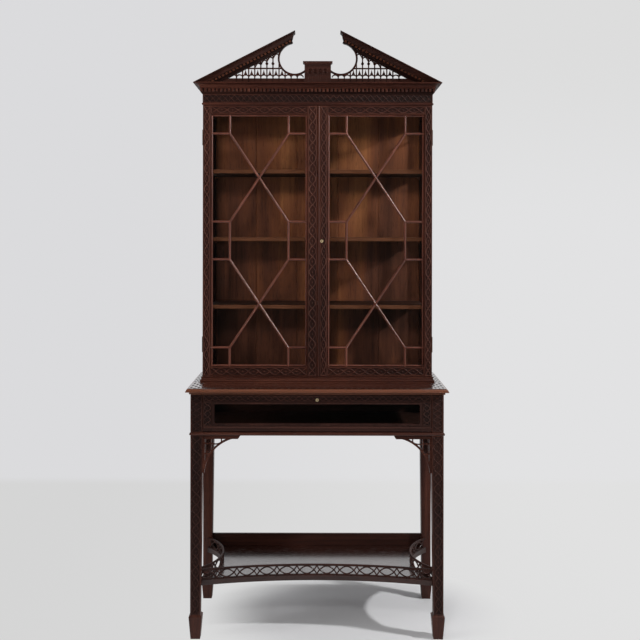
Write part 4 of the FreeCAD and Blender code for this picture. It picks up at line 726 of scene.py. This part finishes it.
bead_out = leg_front - bead_low.y
piece("waist_bead_moulding",
      [three_runs(half_round(0.0, bead_high.z - bead_low.z, bead_out), leg_out, leg_front,
                  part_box("rear_right_leg")[1].y, bead_low.z)],
      mahogany("waist_bead", mitred("waist_bead", bead_out), CARVED, 0.36, 0.15, sheen=0.35),
      replaces=("waist_bead",))

# Stand: pierced galleries of crossed straps
GALLERY = Sizes(thickness=0.007, pitch=0.0754, strap=0.0042, strap_thickness=0.005, rail=0.0072, foot=0.0036,
                front_units=12, end_units=5, tip=0.366, rise=0.47, clear=0.002, set_back=(0.0008, 0.0012),
                rail_points=60, strap_points=25, fewest=4)


def bent(centre, radius, turn):
    """A bend about an upright axis. A point (along, out, up) of the flat strip goes to the angle
    along / radius and the distance radius + out from the centre; turn gives the strip's middle."""
    def place(along, out, up):
        angle = along / radius
        x = (radius + out) * np.sin(angle)
        y = (radius + out) * np.cos(angle)
        return np.stack([centre[0] + x * math.cos(turn) + y * math.sin(turn),
                         centre[1] - x * math.sin(turn) + y * math.cos(turn), up], -1)
    return place


def bent_strap(place, along, up, wide, deep, set_back):
    """A strap with rounded edges that follows a line on the strip: its section lies square to the line."""
    du, dz = np.gradient(along), np.gradient(up)
    length = np.hypot(du, dz)
    lean = np.stack([-dz / length, du / length], -1)
    ease = min(wide, deep) / 4
    across = np.array([-wide / 2, -wide / 2 + ease, wide / 2 - ease, wide / 2, wide / 2, -wide / 2])
    out = set_back + np.array([ease, 0, 0, ease, deep, deep])
    return skin(place(along[:, None] + lean[:, :1] * across, np.broadcast_to(out, (len(along), 6)),
                      up[:, None] + lean[:, 1:] * across))


def gallery(node, units, centre, radius, turn, half):
    """Rails above and below, and in every unit two straps that cross at the oval's points: each goes
    straight from the rail to the point, over the oval by a cosine, and straight back to the rail."""
    low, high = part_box(node)
    place = bent(centre, radius, turn)
    reach = math.asin(half / radius) * radius
    ends = np.linspace(-reach, reach, GALLERY.rail_points)
    shells = []
    for z, wide in ((high.z - GALLERY.rail / 2, GALLERY.rail), (low.z + GALLERY.foot / 2, GALLERY.foot)):
        shells.append(bent_strap(place, ends, np.full(len(ends), z), wide, GALLERY.thickness, 0.0))
    clear = high.z - low.z - GALLERY.rail - GALLERY.foot
    middle = low.z + GALLERY.foot + clear / 2
    pitch, tip = GALLERY.pitch, GALLERY.tip * GALLERY.pitch
    strap_at = np.linspace(-pitch / 2, pitch / 2, GALLERY.strap_points)
    over = np.cos(math.pi / 2 * strap_at / tip) * GALLERY.rise * clear
    down = -(np.abs(strap_at) - tip) / (pitch / 2 - tip) * clear / 2
    line = np.where(np.abs(strap_at) < tip, over, down)
    for number in range(units):
        along = strap_at + (number - (units - 1) / 2) * pitch
        keep = np.abs(along) < reach - GALLERY.clear
        if keep.sum() < GALLERY.fewest:
            continue
        for side, set_back in zip((1, -1), GALLERY.set_back):
            shells.append(bent_strap(place, along[keep], middle + side * line[keep], GALLERY.strap,
                                     GALLERY.strap_thickness, set_back))
    piece(f"{node}_straps", shells, mahogany(node, along_x, DARK, 0.45, 0.05), replaces=(node,))


def chord_radius(half, rise):
    """The radius of an arc that rises so far over half its chord."""
    return (half * half + rise * rise) / (2 * rise)


front_low, front_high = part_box("front_gallery")
front_face = front_high.y - GALLERY.thickness
front_radius = chord_radius(front_high.x, front_face - front_low.y)
gallery("front_gallery", GALLERY.front_units, (0.0, front_face - front_radius), front_radius, 0.0, front_high.x)
for side, sign in SIDES.items():
    end_low, end_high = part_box(f"{side}_gallery")
    half = (end_high.y - end_low.y) / 2
    inner = min(abs(end_low.x), abs(end_high.x)) + GALLERY.thickness
    radius = chord_radius(half, max(abs(end_low.x), abs(end_high.x)) - inner)
    centre = (sign * (inner + radius), (end_low.y + end_high.y) / 2)
    gallery(f"{side}_gallery", GALLERY.end_units, centre, radius, -sign * math.pi / 2, half)

# Table top: board, moulded edge and carved border
TOP = Sizes(board=0.0060, lap=0.0002, play=0.0006, pocket=0.0080)
BORDER = Sizes(width=0.025, edge=0.0098, clear=0.003, gap=0.001, end=0.002, pitch=0.026, rise=0.0010)
SIDE_BORDER = Sizes(width=0.048, pitch=0.052, rise=BORDER.rise)


def top_profile(out, tall):
    """From below: a fillet, a hollow, a thin nose at half height and a long round up to the surface."""
    return np.concatenate([
        [[0.001, 0.0], [0.001, 0.10 * tall]],
        arc((0.003, 0.10 * tall), (out - 0.004, 0.40 * tall), False),
        [[out - 0.0015, 0.40 * tall], [out, 0.45 * tall], [out, 0.55 * tall], [out - 0.0015, 0.60 * tall]],
        arc((out - 0.0025, 0.62 * tall), (0.48 * out, tall), False)])


def top_board():
    """The board inside the moulded edge, with a pocket in its underside for the fall front's bolt: the
    pocket's ceiling, its mouth, the board's lower outline and its upper one, each four corners."""
    bolt_low, bolt_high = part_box("fall_lock_bolt")
    play, reach = TOP.play, leg_out + TOP.board
    pocket = (bolt_low.x - play, bolt_high.x + play, bolt_low.y - play, bolt_high.y + play)
    whole = (-reach, reach, leg_front - TOP.board, top_high.y)
    return skin([[(x1, y1, z), (x2, y1, z), (x2, y2, z), (x1, y2, z)] for (x1, x2, y1, y2), z in (
        (pocket, top_low.z + TOP.pocket), (pocket, top_low.z), (whole, top_low.z), (whole, top_high.z))])


def top_border():
    """Straight fret along the front edge, and sunk lozenges on both sides, wide before the case and narrow
    beside it."""
    z = top_high.z
    reach, front_y = top_high.x - BORDER.edge, top_low.y + BORDER.edge
    corner_y = base_low.y - BORDER.clear
    inner, y = reach - SIDE_BORDER.width, front_y + BORDER.width / 2
    strips = [carved_strip((-inner, y, z), (inner, y, z), UP, BORDER.width, key_fret, BORDER)]
    beside = reach - base_high.x - BORDER.gap
    for side in (-1, 1):
        for wide, start, end in ((SIDE_BORDER.width, front_y, corner_y),
                                 (beside, corner_y, top_high.y - BORDER.end)):
            x = side * (reach - wide / 2)
            strips.append(carved_strip((x, start, z), (x, end, z), UP, wide, lozenges, SIDE_BORDER))
    return strips


top_run = closed(top_profile(top_high.x - leg_out, top_high.z - top_low.z), TOP.board - TOP.lap)
piece("table_top_board", [top_board(), three_runs(top_run, leg_out, leg_front, top_high.y, top_low.z)],
      table_wood, replaces=("table_top",))
carving("table_top_border", top_border(), carved_top)


# Case: mouldings

def base_profile(out, tall):
    """From below: a fillet, a torus, a fillet, a hollow and a small bead at the top."""
    torus = half_round(0.12 * tall, 0.46 * tall, 0.16 * tall)
    bead = half_round(0.82 * tall, tall, 0.09 * tall)
    return np.concatenate([
        [[out - 0.001, 0.0], [out - 0.001, 0.12 * tall]], torus + (out - 0.16 * tall - 0.0005, 0),
        [[out - 0.0045, 0.46 * tall], [out - 0.0045, 0.52 * tall]],
        arc((out - 0.0055, 0.52 * tall), (0.0022, 0.8 * tall), False),
        [[0.0030, 0.82 * tall]], bead + (0.0030, 0), [[0.0, tall]]])


def cornice_profile(out, tall):
    """From below: an ovolo, the flat behind the dentils, a fillet, a deep hollow and the top fillet."""
    flat, fillet = 0.006, 0.0036
    return np.concatenate([
        arc((0.0, 0.0), (flat, 0.26 * tall), True), [[flat, 0.50 * tall], [0.0108, 0.50 * tall]],
        [[0.0108, 0.55 * tall]], arc((0.0114, 0.56 * tall), (out - 0.001, tall - 0.0042), False, 12),
        [[out - 0.001, tall - fillet], [out, tall - fillet], [out, tall], [0.0, tall]]])


def case_run(node, name, profile, roughness, coat, **options):
    """A moulding round the front and the ends of the case."""
    low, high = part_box(node)
    out = high.x - case_high.x
    piece(name, [three_runs(closed(profile(out, high.z - low.z)), case_high.x, case_low.y, case_high.y, low.z)],
          mahogany(node, mitred(node, out), CARVED, roughness, coat, **options), replaces=(node,))


case_run("base_moulding", "base_moulding_run", base_profile, 0.36, 0.15)
# The cornice is darkened behind the dentils as painted shade.
case_run("cornice", "cornice_run", cornice_profile, 0.44, 0.0, sheen=0.15, sunk=behind_teeth)


def dentils():
    """Blocks with eased corners: the plan of one, moved along in equal steps and carried up."""
    low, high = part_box("dentil_course")
    half, ease, pitch = TEETH.width / 2, TEETH.ease, TEETH.pitch
    levels = [low.z - TEETH.below, low.z - TEETH.below + TEETH.tall]
    shells = []

    def row(count, first, along, across, inside, face):
        plan = np.array([(-half, inside), (-half, face - ease), (ease - half, face), (half - ease, face),
                         (half, face - ease), (half, inside)])
        for number in range(count):
            flat = (np.array(first) + (plan[:, :1] + number * pitch) * along + plan[:, 1:] * across)
            shells.append(skin([np.column_stack([flat, np.full(len(flat), z)]) for z in levels]))

    front_count = int((2 * high.x - TEETH.width) / pitch) + 1
    row(front_count, (-(front_count - 1) / 2 * pitch, 0.0), np.array([1, 0]), np.array([0, -1]),
        TEETH.inside - case_low.y, -low.y)
    for side in (-1, 1):
        row(int((high.y - case_low.y - TEETH.width) / pitch), (0.0, case_low.y + pitch * TEETH.end_start),
            np.array([0, 1]), np.array([side, 0]), case_high.x + TEETH.inside, high.x)
    piece("dentil_teeth", shells, tooth_wood, replaces=("dentil_course",))


dentils()

# Case: carved frieze between its bead and the cornice
frieze_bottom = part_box("frieze")[0].z + FRIEZE.bead_top + FRIEZE.margin
frieze_top = cornice_low.z - FRIEZE.margin


def frieze_strip(x1, y1, x2, y2, out):
    """The lattice over the frieze's height, between two places in plan."""
    z = (frieze_bottom + frieze_top) / 2
    return carved_strip((x1, y1, z), (x2, y2, z), out, frieze_top - frieze_bottom, lattice, FRIEZE)


frieze_end, front_y, back_y = case_high.x - FRIEZE.end, case_low.y + FRIEZE.end, case_high.y - FRIEZE.end
carving("frieze_carving", [frieze_strip(-frieze_end, case_low.y, frieze_end, case_low.y, FORWARD)],
        carved_frieze)
carving("frieze_end_carving", [frieze_strip(x, front_y, x, back_y, (math.copysign(1, x), 0, 0))
                               for x in (-case_high.x, case_high.x)], carved_end)

# Pediment: pierced frets, in true heights above the cornice and distances from the middle
FRET = Sizes(outermost=0.3378, pitch=0.0235, picket=0.0048, base=0.020, into_plinth=0.008, bite=0.005,
             bar_rise=0.0584, bar=0.0048, spring=0.024, peak=0.0335, arch=0.0042, spear_low=0.031,
             spear_top=0.0545, spear=0.012, spear_room=0.8, bulb_rise=0.077, bulb_wide=0.012, bulb_tall=0.0125,
             head_drop=0.013, head_rise=0.0115, ring_x=0.089, ring_rise=0.0967, ring_radius=0.0584,
             ring_band=0.0075, ring_ends=(38, -137), ring_points=44, points=13)
SPEAR = [(0.0, 1.0), (0.12, 0.72), (0.24, 0.50), (0.50, 0.20), (0.42, 0.04), (0.20, 0.0)]


def fret(side, sign):
    """Strokes with eased corners: pickets up to the raking cornice or the scroll ring, round arches
    x = middle + pitch / 2 cos t, z = spring + rise sin t, a cross bar, the ring, and heads that follow the
    slope as a half wave. Spears and bulbs are outlines carried through the thickness."""
    base, foot, deep = fret_low.z, -fret_low.x, fret_high.y - fret_low.y
    pitch, bite = FRET.pitch, FRET.bite
    ring_z, bar_z = base + FRET.ring_rise, base + FRET.bar_rise
    radius = FRET.ring_radius + FRET.ring_band / 2
    shells = []

    def place(along, out, up):
        return np.stack(np.broadcast_arrays(sign * along, fret_low.y + out, up), -1)

    def stroke(along, up, wide):
        along, up = np.broadcast_arrays(np.asarray(along, float), np.asarray(up, float))
        shells.append(bent_strap(place, along, up, wide, deep, 0.0))

    def outline(x, z, points):
        shells.append(skin([place(x + points[:, 0], out, z + points[:, 1]) for out in (0.0, deep)]))

    def ring_over(x):
        return abs(x - FRET.ring_x) < radius

    def under_ring(x):
        return ring_z - math.sqrt(radius ** 2 - (x - FRET.ring_x) ** 2)

    stroke(np.array([plinth_high.x - FRET.into_plinth, foot - bite]), base + FRET.base / 2, FRET.base)
    bar_start = FRET.ring_x + math.sqrt(radius ** 2 - (ring_z - bar_z) ** 2)
    stroke(np.array([bar_start, foot - FRET.bar_rise / RAKE_SLOPE + bite]), bar_z, FRET.bar)
    turn = np.radians(np.linspace(*FRET.ring_ends, FRET.ring_points))
    stroke(FRET.ring_x + radius * np.cos(turn), ring_z + radius * np.sin(turn), FRET.ring_band)
    share = np.linspace(0, 1, FRET.points)
    half_turn = math.pi * share
    right = np.array(SPEAR) * (FRET.spear, FRET.spear_top - FRET.spear_low)
    spear = np.concatenate([right, right[:0:-1] * (-1, 1)])
    turn = 2 * math.pi * share[:-1]
    bulb = np.stack([FRET.bulb_wide / 4 * (np.sin(turn) ** 3 + np.sin(turn)),
                     FRET.bulb_tall / 2 * np.cos(turn)], 1)
    for number in range(int((FRET.outermost - plinth_high.x) / pitch) + 1):
        x = FRET.outermost - number * pitch
        middle = x - pitch / 2
        stroke(middle + pitch / 2 * np.cos(half_turn),
               base + FRET.spring + (FRET.peak - FRET.spring) * np.sin(half_turn), FRET.arch)
        room = under_ring(middle) if ring_over(middle) else rake_underside(middle)
        if room > base + FRET.spear_top * FRET.spear_room:
            outline(middle, base + FRET.spear_low, spear)
        if not number:
            continue
        top = under_ring(x) if ring_over(x) else rake_underside(x) + bite
        stroke(x, np.linspace(base, top, 2), FRET.picket)
        if ring_over(x):
            continue
        if rake_underside(x) > base + FRET.bulb_rise + FRET.bulb_tall / 2:
            outline(x, base + FRET.bulb_rise, bulb)
        if rake_underside(x) - FRET.head_drop > bar_z:
            head = rake_underside(x - pitch * share) - FRET.head_drop
            stroke(x - pitch * share, head + FRET.head_rise * np.sin(half_turn), FRET.arch)
    piece(f"{side}_pediment_fret_straps", shells, fret_wood, replaces=(f"{side}_pediment_fret",))


for side, sign in SIDES.items():
    fret(side, sign)

# Pediment: arcade on the plinth's face
arcade_start, arcade_end = ((x, plinth_low.y + ARCADE.sunk, plinth_high.z - ARCADE.below_top)
                            for x in (-ARCADE.half, ARCADE.half))
carving("plinth_arcade", [carved_strip(arcade_start, arcade_end, FORWARD, ARCADE.tall, arcade, ARCADE)],
        carved_plinth)

# Astragals: half-round bars on a flat fillet
ASTRAGAL = Sizes(bar=0.010, lip=0.0075, quirk=0.12, base=0.42, door_inset=0.073, side_inset=0.055)


def astragal_section(wide, deep):
    """A half round between two quirks, over a flat base."""
    half, base = wide / 2, deep * ASTRAGAL.base
    return np.concatenate([[[-half, 0.0], [-half, base]], dome(half - wide * ASTRAGAL.quirk, deep - base, base),
                           [[half, base], [half, 0.0]]])


def astragals(node, out, body, inset):
    """A bead all round the opening, short bars that square off its corners and its middle, and crossed
    bars between them."""
    low, high = (np.array(corner, float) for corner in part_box(node))
    out = np.array(out, float)
    along = np.array([0, 1.0, 0]) if out[0] else np.array([1.0, 0, 0])
    deep = abs((high - low) @ out)
    base = np.where(out > 0, high, low) - out * deep
    wide, tall = (high - low) @ along, high[2] - low[2]

    def at(a, b):
        return base + along * a + np.array(UP) * b

    lip = ASTRAGAL.lip / 2
    edges = [(a, 0, a, tall) for a in (lip, wide - lip)] + [(0, b, wide, b) for b in (lip, tall - lip)]
    levels = (inset, tall / 2 - inset, tall / 2 + inset, tall - inset)
    lines = []
    for b in levels:
        lines += [(0, b, inset, b), (wide - inset, b, wide, b)]
    for a in (inset, wide - inset):
        lines += [(a, 0, a, levels[0]), (a, levels[1], a, levels[2]), (a, levels[3], a, tall)]
    for b1, b2 in ((levels[0], levels[1]), (levels[2], levels[3])):
        lines += [(inset, b1, wide - inset, b2), (wide - inset, b1, inset, b2)]
    shells = [bar(at(a1, b1), at(a2, b2), astragal_section(thick, deep), out)
              for thick, places in ((ASTRAGAL.lip, edges), (ASTRAGAL.bar, lines)) for a1, b1, a2, b2 in places]
    # The bars' quirks and flat base are darkened as painted shade.
    dirt_and_shade = [0.0, 0.0, 0.5] + [1.0] * 7 + [0.5, 0.0, 0.0]
    piece(f"{node}_bars", shells, astragal_wood, body, replaces=(node,), marks=np.tile(dirt_and_shade, 2 * len(shells)))


for side, sign in SIDES.items():
    astragals(f"{side}_door_astragals", FORWARD, f"{side}_door", ASTRAGAL.door_inset)
    astragals(f"{side}_side_astragals", (sign, 0, 0), CARCASE, ASTRAGAL.side_inset)

# Doors: carved stiles and rails, and the bead on the right door's meeting stile
DOOR = Sizes(margin=0.003, rise=0.0018, pitch=0.040, plate=0.0075, plate_in=0.016, bead=0.0075, bead_out=0.003,
             bead_back=0.00075, bead_end=0.001)


def meeting_bead(low, high):
    """A half round over the joint between the doors."""
    half, back = DOOR.bead / 2, -DOOR.bead_back
    section = np.concatenate([dome(half, DOOR.bead_out), [[half, back], [-half, back]]])
    start, end = ((low.x + half, low.y, z) for z in (low.z + DOOR.bead_end, high.z - DOOR.bead_end))
    # The bead's edges and back are darkened as painted shade.
    piece("meeting_bead", [bar(start, end, section, FORWARD)], meeting_wood, "right_door",
          marks=np.tile([0.0, 0.7, 1, 1, 1, 1, 1, 0.7, 0.0, 0.0, 0.0], 2))


def door_carving(side):
    """Four strips on a door's face: both stiles over its full height and the rails between them."""
    low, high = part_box(f"{side}_door_frame")
    gap_low, gap_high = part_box(f"{side}_door_astragals")
    body = f"{side}_door"
    inner, clearing = low.x, None
    if side == "right":
        plate_low, plate_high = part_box("door_lock")
        clearing = (np.array([low.x + DOOR.plate_in, low.y, (plate_low.z + plate_high.z) / 2]), DOOR.plate)
        inner = low.x + DOOR.bead
        meeting_bead(low, high)
    ends = (low.z + DOOR.margin, high.z - DOOR.margin)
    stiles = [face_strip(span, ends, True, low.y, DOOR, cleared)
              for span, cleared in (((inner, gap_low.x), clearing), ((gap_high.x, high.x), None))]
    rails = [face_strip(span, (gap_low.x, gap_high.x), False, low.y, DOOR)
             for span in ((low.z, gap_low.z), (gap_high.z, high.z))]
    carving(f"{side}_door_stile_carving", stiles, carved, body)
    carving(f"{side}_door_rail_carving", rails, carved_level, body)


for side in SIDES:
    door_carving(side)

# Fall front: carved frame and the bead round its glass
FALL = Sizes(margin=0.0025, rise=0.0012, pitch=0.022, lip=0.0005, plate=0.0075, plate_down=0.019,
             lip_width=0.0075, corner=0.009, round=0.011, bite=0.0003, sunk=0.0008)
FALL_LOW = Sizes(margin=FALL.margin, rise=0.0008, pitch=FALL.pitch)
fall_low, fall_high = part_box("fall_frame")
pane_low, pane_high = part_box("fall_pane")


def fall_carving():
    """Strips on the stiles, the top rail and the bottom rail, which is carved only above its round."""
    opening = (pane_low.x - FALL.lip, pane_high.x + FALL.lip)
    top = (pane_high.z + FALL.lip, fall_high.z)
    bottom = (fall_low.z + FALL.round, pane_low.z - FALL.lip)
    ends = (fall_low.x + FALL.margin, fall_high.x - FALL.margin)
    clearing = (np.array([0.0, leg_front, fall_high.z - FALL.plate_down]), FALL.plate)
    carving("fall_rail_carving", [face_strip(top, ends, False, leg_front, FALL, clearing),
                                  face_strip(bottom, ends, False, leg_front, FALL_LOW)],
            carved_fall, FALL_FRONT)
    carving("fall_stile_carving", [face_strip(span, (bottom[1], top[0]), True, leg_front, FALL)
                                   for span in ((fall_low.x, opening[0]), (opening[1], fall_high.x))],
            carved_fall, FALL_FRONT)


def rounded_corners():
    """A hollow quarter round in each corner of the lip: from the corner along one side, round an arc whose
    centre lies inside the opening, and back along the other side; the same section from lip to glass."""
    inset = FALL.lip_width - FALL.lip
    t = np.linspace(0, math.pi / 2, 9)
    share = np.concatenate([[[0, 0]], np.stack([1 - np.sin(t), 1 - np.cos(t)], 1)]) * FALL.corner - FALL.bite
    shells = []
    for x, turn_x in ((pane_low.x + inset, 1), (pane_high.x - inset, -1)):
        for z, turn_z in ((pane_low.z + inset, 1), (pane_high.z - inset, -1)):
            across, up = x + turn_x * share[:, 0], z + turn_z * share[:, 1]
            shells.append(skin([np.stack([across, np.full(len(share), y), up], 1)
                                for y in (fall_low.y + FALL.sunk, pane_low.y)]))
    piece("fall_lip_corners", shells, dark_level, FALL_FRONT)


fall_carving()
rounded_corners()

# Hinge screws
SCREW = Sizes(radius=0.0026, slot=0.00035, head=0.94, rise=0.0002, disc=0.00003, inset=0.0085, leaf=0.060,
              places=(0.010, 0.030, 0.050), corners=16, half_points=9)


def screw(centre, out):
    """A countersunk head: a thin disc, and two half discs on it that leave the slot open between them."""
    centre, out, along = (np.asarray(v, float) for v in (centre, out, UP))
    across = np.cross(out, along)

    def ring(turn, radius):
        return radius * (np.cos(turn)[:, None] * along + np.sin(turn)[:, None] * across)

    disc = ring(np.arange(SCREW.corners) * 2 * math.pi / SCREW.corners, SCREW.radius)
    shells = [skin([centre - out * SCREW.rise + disc, centre + out * SCREW.disc + disc])]
    edge = math.asin(SCREW.slot / SCREW.radius)
    for side in (1, -1):
        half = ring(np.linspace(edge, math.pi - edge, SCREW.half_points), side * SCREW.radius * SCREW.head)
        shells.append(skin([centre + half, centre + out * SCREW.rise + half]))
    return shells


for side, sign in SIDES.items():
    leaves = (("case", CARCASE, FORWARD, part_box(f"{side}_side_frame")[0].y),
              ("door", f"{side}_door", BACKWARD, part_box(f"{side}_door_frame")[1].y))
    for leaf, body, out, face in leaves:
        low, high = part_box(f"{side}_{leaf}_hinges")
        shells = []
        for end in (low.z, high.z - SCREW.leaf):
            for up in SCREW.places:
                shells += screw((sign * (case_high.x - SCREW.inset), face, end + up), out)
        piece(f"{side}_{leaf}_screws", shells, hinge_brass, body)

# Studio
# The floor's and the wall's even tones are darker towards the left, and the wall's high up on the right:
# painted shade.
STUDIO = Sizes(half=9.0, floor_end=2.0, floor_lap=0.25, blend=0.23, bend=0.9, bend_points=24, wall_top=7.0,
               level=-0.0002, cloud=1.3, cloud_share=0.4, left_floor="d5d5d5", right_floor="e1e1e1",
               tone_width=3.0, tone_rise=(1.5, 2.8), shadow_centre=(0.15, 0.05), shadow_reach=(0.60, 0.50),
               shadow_fade=(0.52, 1.08), air_width=2.3, air_rise=(0.0, 0.19), air_light=0.27, air_mirrored=0.12)
FLAG = Sizes(near=-1.3, far=-4.6, low=0.001, top=5.5, half=5.0)
CAMERA = Sizes(lens=54.9, sensor=36.0, shift=(0.004, -0.134), place=(0.0, -3.824, 1.5), roll=-0.0018)


def wall_tone(finish, right, high):
    """A pale tone, with painted shade that makes it a little lower towards the left, and high up on the right.
    """
    return finish.mix(right, "dbdbdd", finish.mix(high, "e2e2e3", "dddddd"))


def studio_paint():
    """Pale paint. It is lit like any other near the cabinet, so that the floor keeps the shadow; farther
    off, the eye and mirrors see an even glowing tone, with painted shade that makes it a little lower towards
    the left."""
    finish = Finish("studio_paint")
    x, y, z = finish.place()
    tint = finish.mix(finish.noise(finish.join(x, y, z), STUDIO.cloud) * STUDIO.cloud_share, "e2e2e4", "dedede")
    lit = finish.add("ShaderNodeBsdfDiffuse", values={"Color": tint})
    right = (x / STUDIO.tone_width + 0.5).between(0.0, 1.0)
    tone = finish.mix(y.between(STUDIO.floor_end, STUDIO.floor_end + STUDIO.blend),
                      finish.mix(right, STUDIO.left_floor, STUDIO.right_floor),
                      wall_tone(finish, right, z.between(*STUDIO.tone_rise)))
    even = finish.add("ShaderNodeEmission", values={"Color": tone})
    away = sum(((place - middle) / reach) ** 2
               for place, middle, reach in zip((x, y), STUDIO.shadow_centre, STUDIO.shadow_reach)) ** 0.5
    seen = away.between(*STUDIO.shadow_fade) * finish.rays("Camera", "Glossy")
    return finish.close(finish.add("ShaderNodeMixShader", values=(seen, lit, even)))


def flag_cloth():
    """Dark cloth, slightly uneven."""
    finish = Finish("flag_cloth")
    cloud = finish.noise(finish.join(*finish.place()), 2.0)
    return finish.surface(Base_Color=finish.mix(cloud, "1c1c1c", "262524"), Roughness=0.9)


def sheet(name, line, half, finish):
    """A line of (y, z) carried along X."""
    line = np.asarray(line, float)
    x = np.linspace(-half, half, 3)
    points = np.stack(np.broadcast_arrays(x, line[:, :1], line[:, 1:]), -1).reshape(-1, 3)
    number = np.arange(len(points)).reshape(len(line), 3)
    quads = np.stack([number[:-1, :-1], number[:-1, 1:], number[1:, 1:], number[1:, :-1]], -1).reshape(-1, 4)
    mesh = bpy.data.meshes.new(name)
    mesh.from_pydata(points.tolist(), [], quads.tolist())
    mesh.materials.append(finish)
    made = placed(name, mesh)
    return made


def floor_and_wall():
    """A flat floor, and a wall that rises from it in a quarter round. The wall lights the cabinet and shows
    in its polish, but the eye sees the air's tone in its place, so that nothing hides the back."""
    pale = studio_paint()
    end, bend, level = STUDIO.floor_end, STUDIO.bend, STUDIO.level
    sheet("studio_floor", [(-STUDIO.half, level), (end + STUDIO.floor_lap, level)], STUDIO.half, pale)
    turn = np.linspace(0, math.pi / 2, STUDIO.bend_points)
    line = np.stack([end + bend * np.sin(turn), bend - bend * np.cos(turn) + level], 1)
    wall = sheet("studio_wall", [*line, (end + bend, STUDIO.wall_top + level)], STUDIO.half, pale)
    wall.data.shade_smooth()
    wall.visible_camera = False


def dark_flag():
    """A dark cloth over the floor in front and up behind the camera, seen only in mirrored rays: a painted
    dark reflection that keeps the panes clear."""
    flag = sheet("dark_flag", [(FLAG.near, FLAG.low), (FLAG.far, FLAG.low), (FLAG.far, FLAG.top)], FLAG.half,
                 flag_cloth())
    flag.visible_camera = False
    flag.visible_diffuse = False
    flag.visible_shadow = False
    flag.visible_transmission = False


def lamp(name, place, target, power, size, mirrored=True, spread=180):
    """A round soft lamp turned towards a target, its beam narrowed where its spread is less than 180."""
    data = bpy.data.lights.new(name, "AREA")
    data.energy = power
    data.shape = "DISK"
    data.size = size
    data.spread = math.radians(spread)
    made = placed(name, data)
    made.visible_glossy = mirrored
    made.location = place
    x, y, z = np.subtract(target, place)
    made.rotation_euler = (math.atan2(math.hypot(x, y), -z), 0, math.atan2(-x, y))


def soft_sky():
    """An even pale world, which mirrored rays see darker and the eye sees in the wall's tone."""
    world = bpy.data.worlds.new("studio_air")
    bpy.context.scene.world = world
    air = Finish("studio_air", world)
    x, y, z = air.place("Generated")
    tone = wall_tone(air, (x * STUDIO.air_width + 0.5).between(0.0, 1.0), z.between(*STUDIO.air_rise))
    pale = (1.0, 1.0, 1.0, 1.0)
    shown = ((pale, STUDIO.air_light), (pale, STUDIO.air_mirrored), (tone, 1.0))
    lit, mirror, seen = (air.add("ShaderNodeBackground", values={"Color": colour, "Strength": strength})
                         for colour, strength in shown)
    both = air.add("ShaderNodeMixShader", values=(air.rays("Glossy"), lit, mirror))
    air.close(air.add("ShaderNodeMixShader", values=(air.rays("Camera", "Transmission"), both, seen)))


floor_and_wall()
dark_flag()
soft_sky()
lamp("key_light", (3.0, -1.2, 3.05), (0, 0, 1.0), power=108.0, size=0.30)
lamp("front_light", (-0.4, -3.3, 2.7), (0, 0, 1.75), power=9.0, size=0.6, mirrored=False, spread=75)
lamp("left_light", (-3.2, -1.3, 1.6), (0, 0, 0.9), power=40.0, size=1.4, mirrored=False)

camera_data = bpy.data.cameras.new("camera")
camera_data.lens = CAMERA.lens
camera_data.sensor_width = CAMERA.sensor
camera_data.shift_x, camera_data.shift_y = CAMERA.shift
camera = placed("camera", camera_data)
camera.location = CAMERA.place
camera.rotation_euler = (math.pi / 2, CAMERA.roll, 0)
bpy.context.scene.camera = camera
bpy.context.scene.view_settings.view_transform = "Standard"
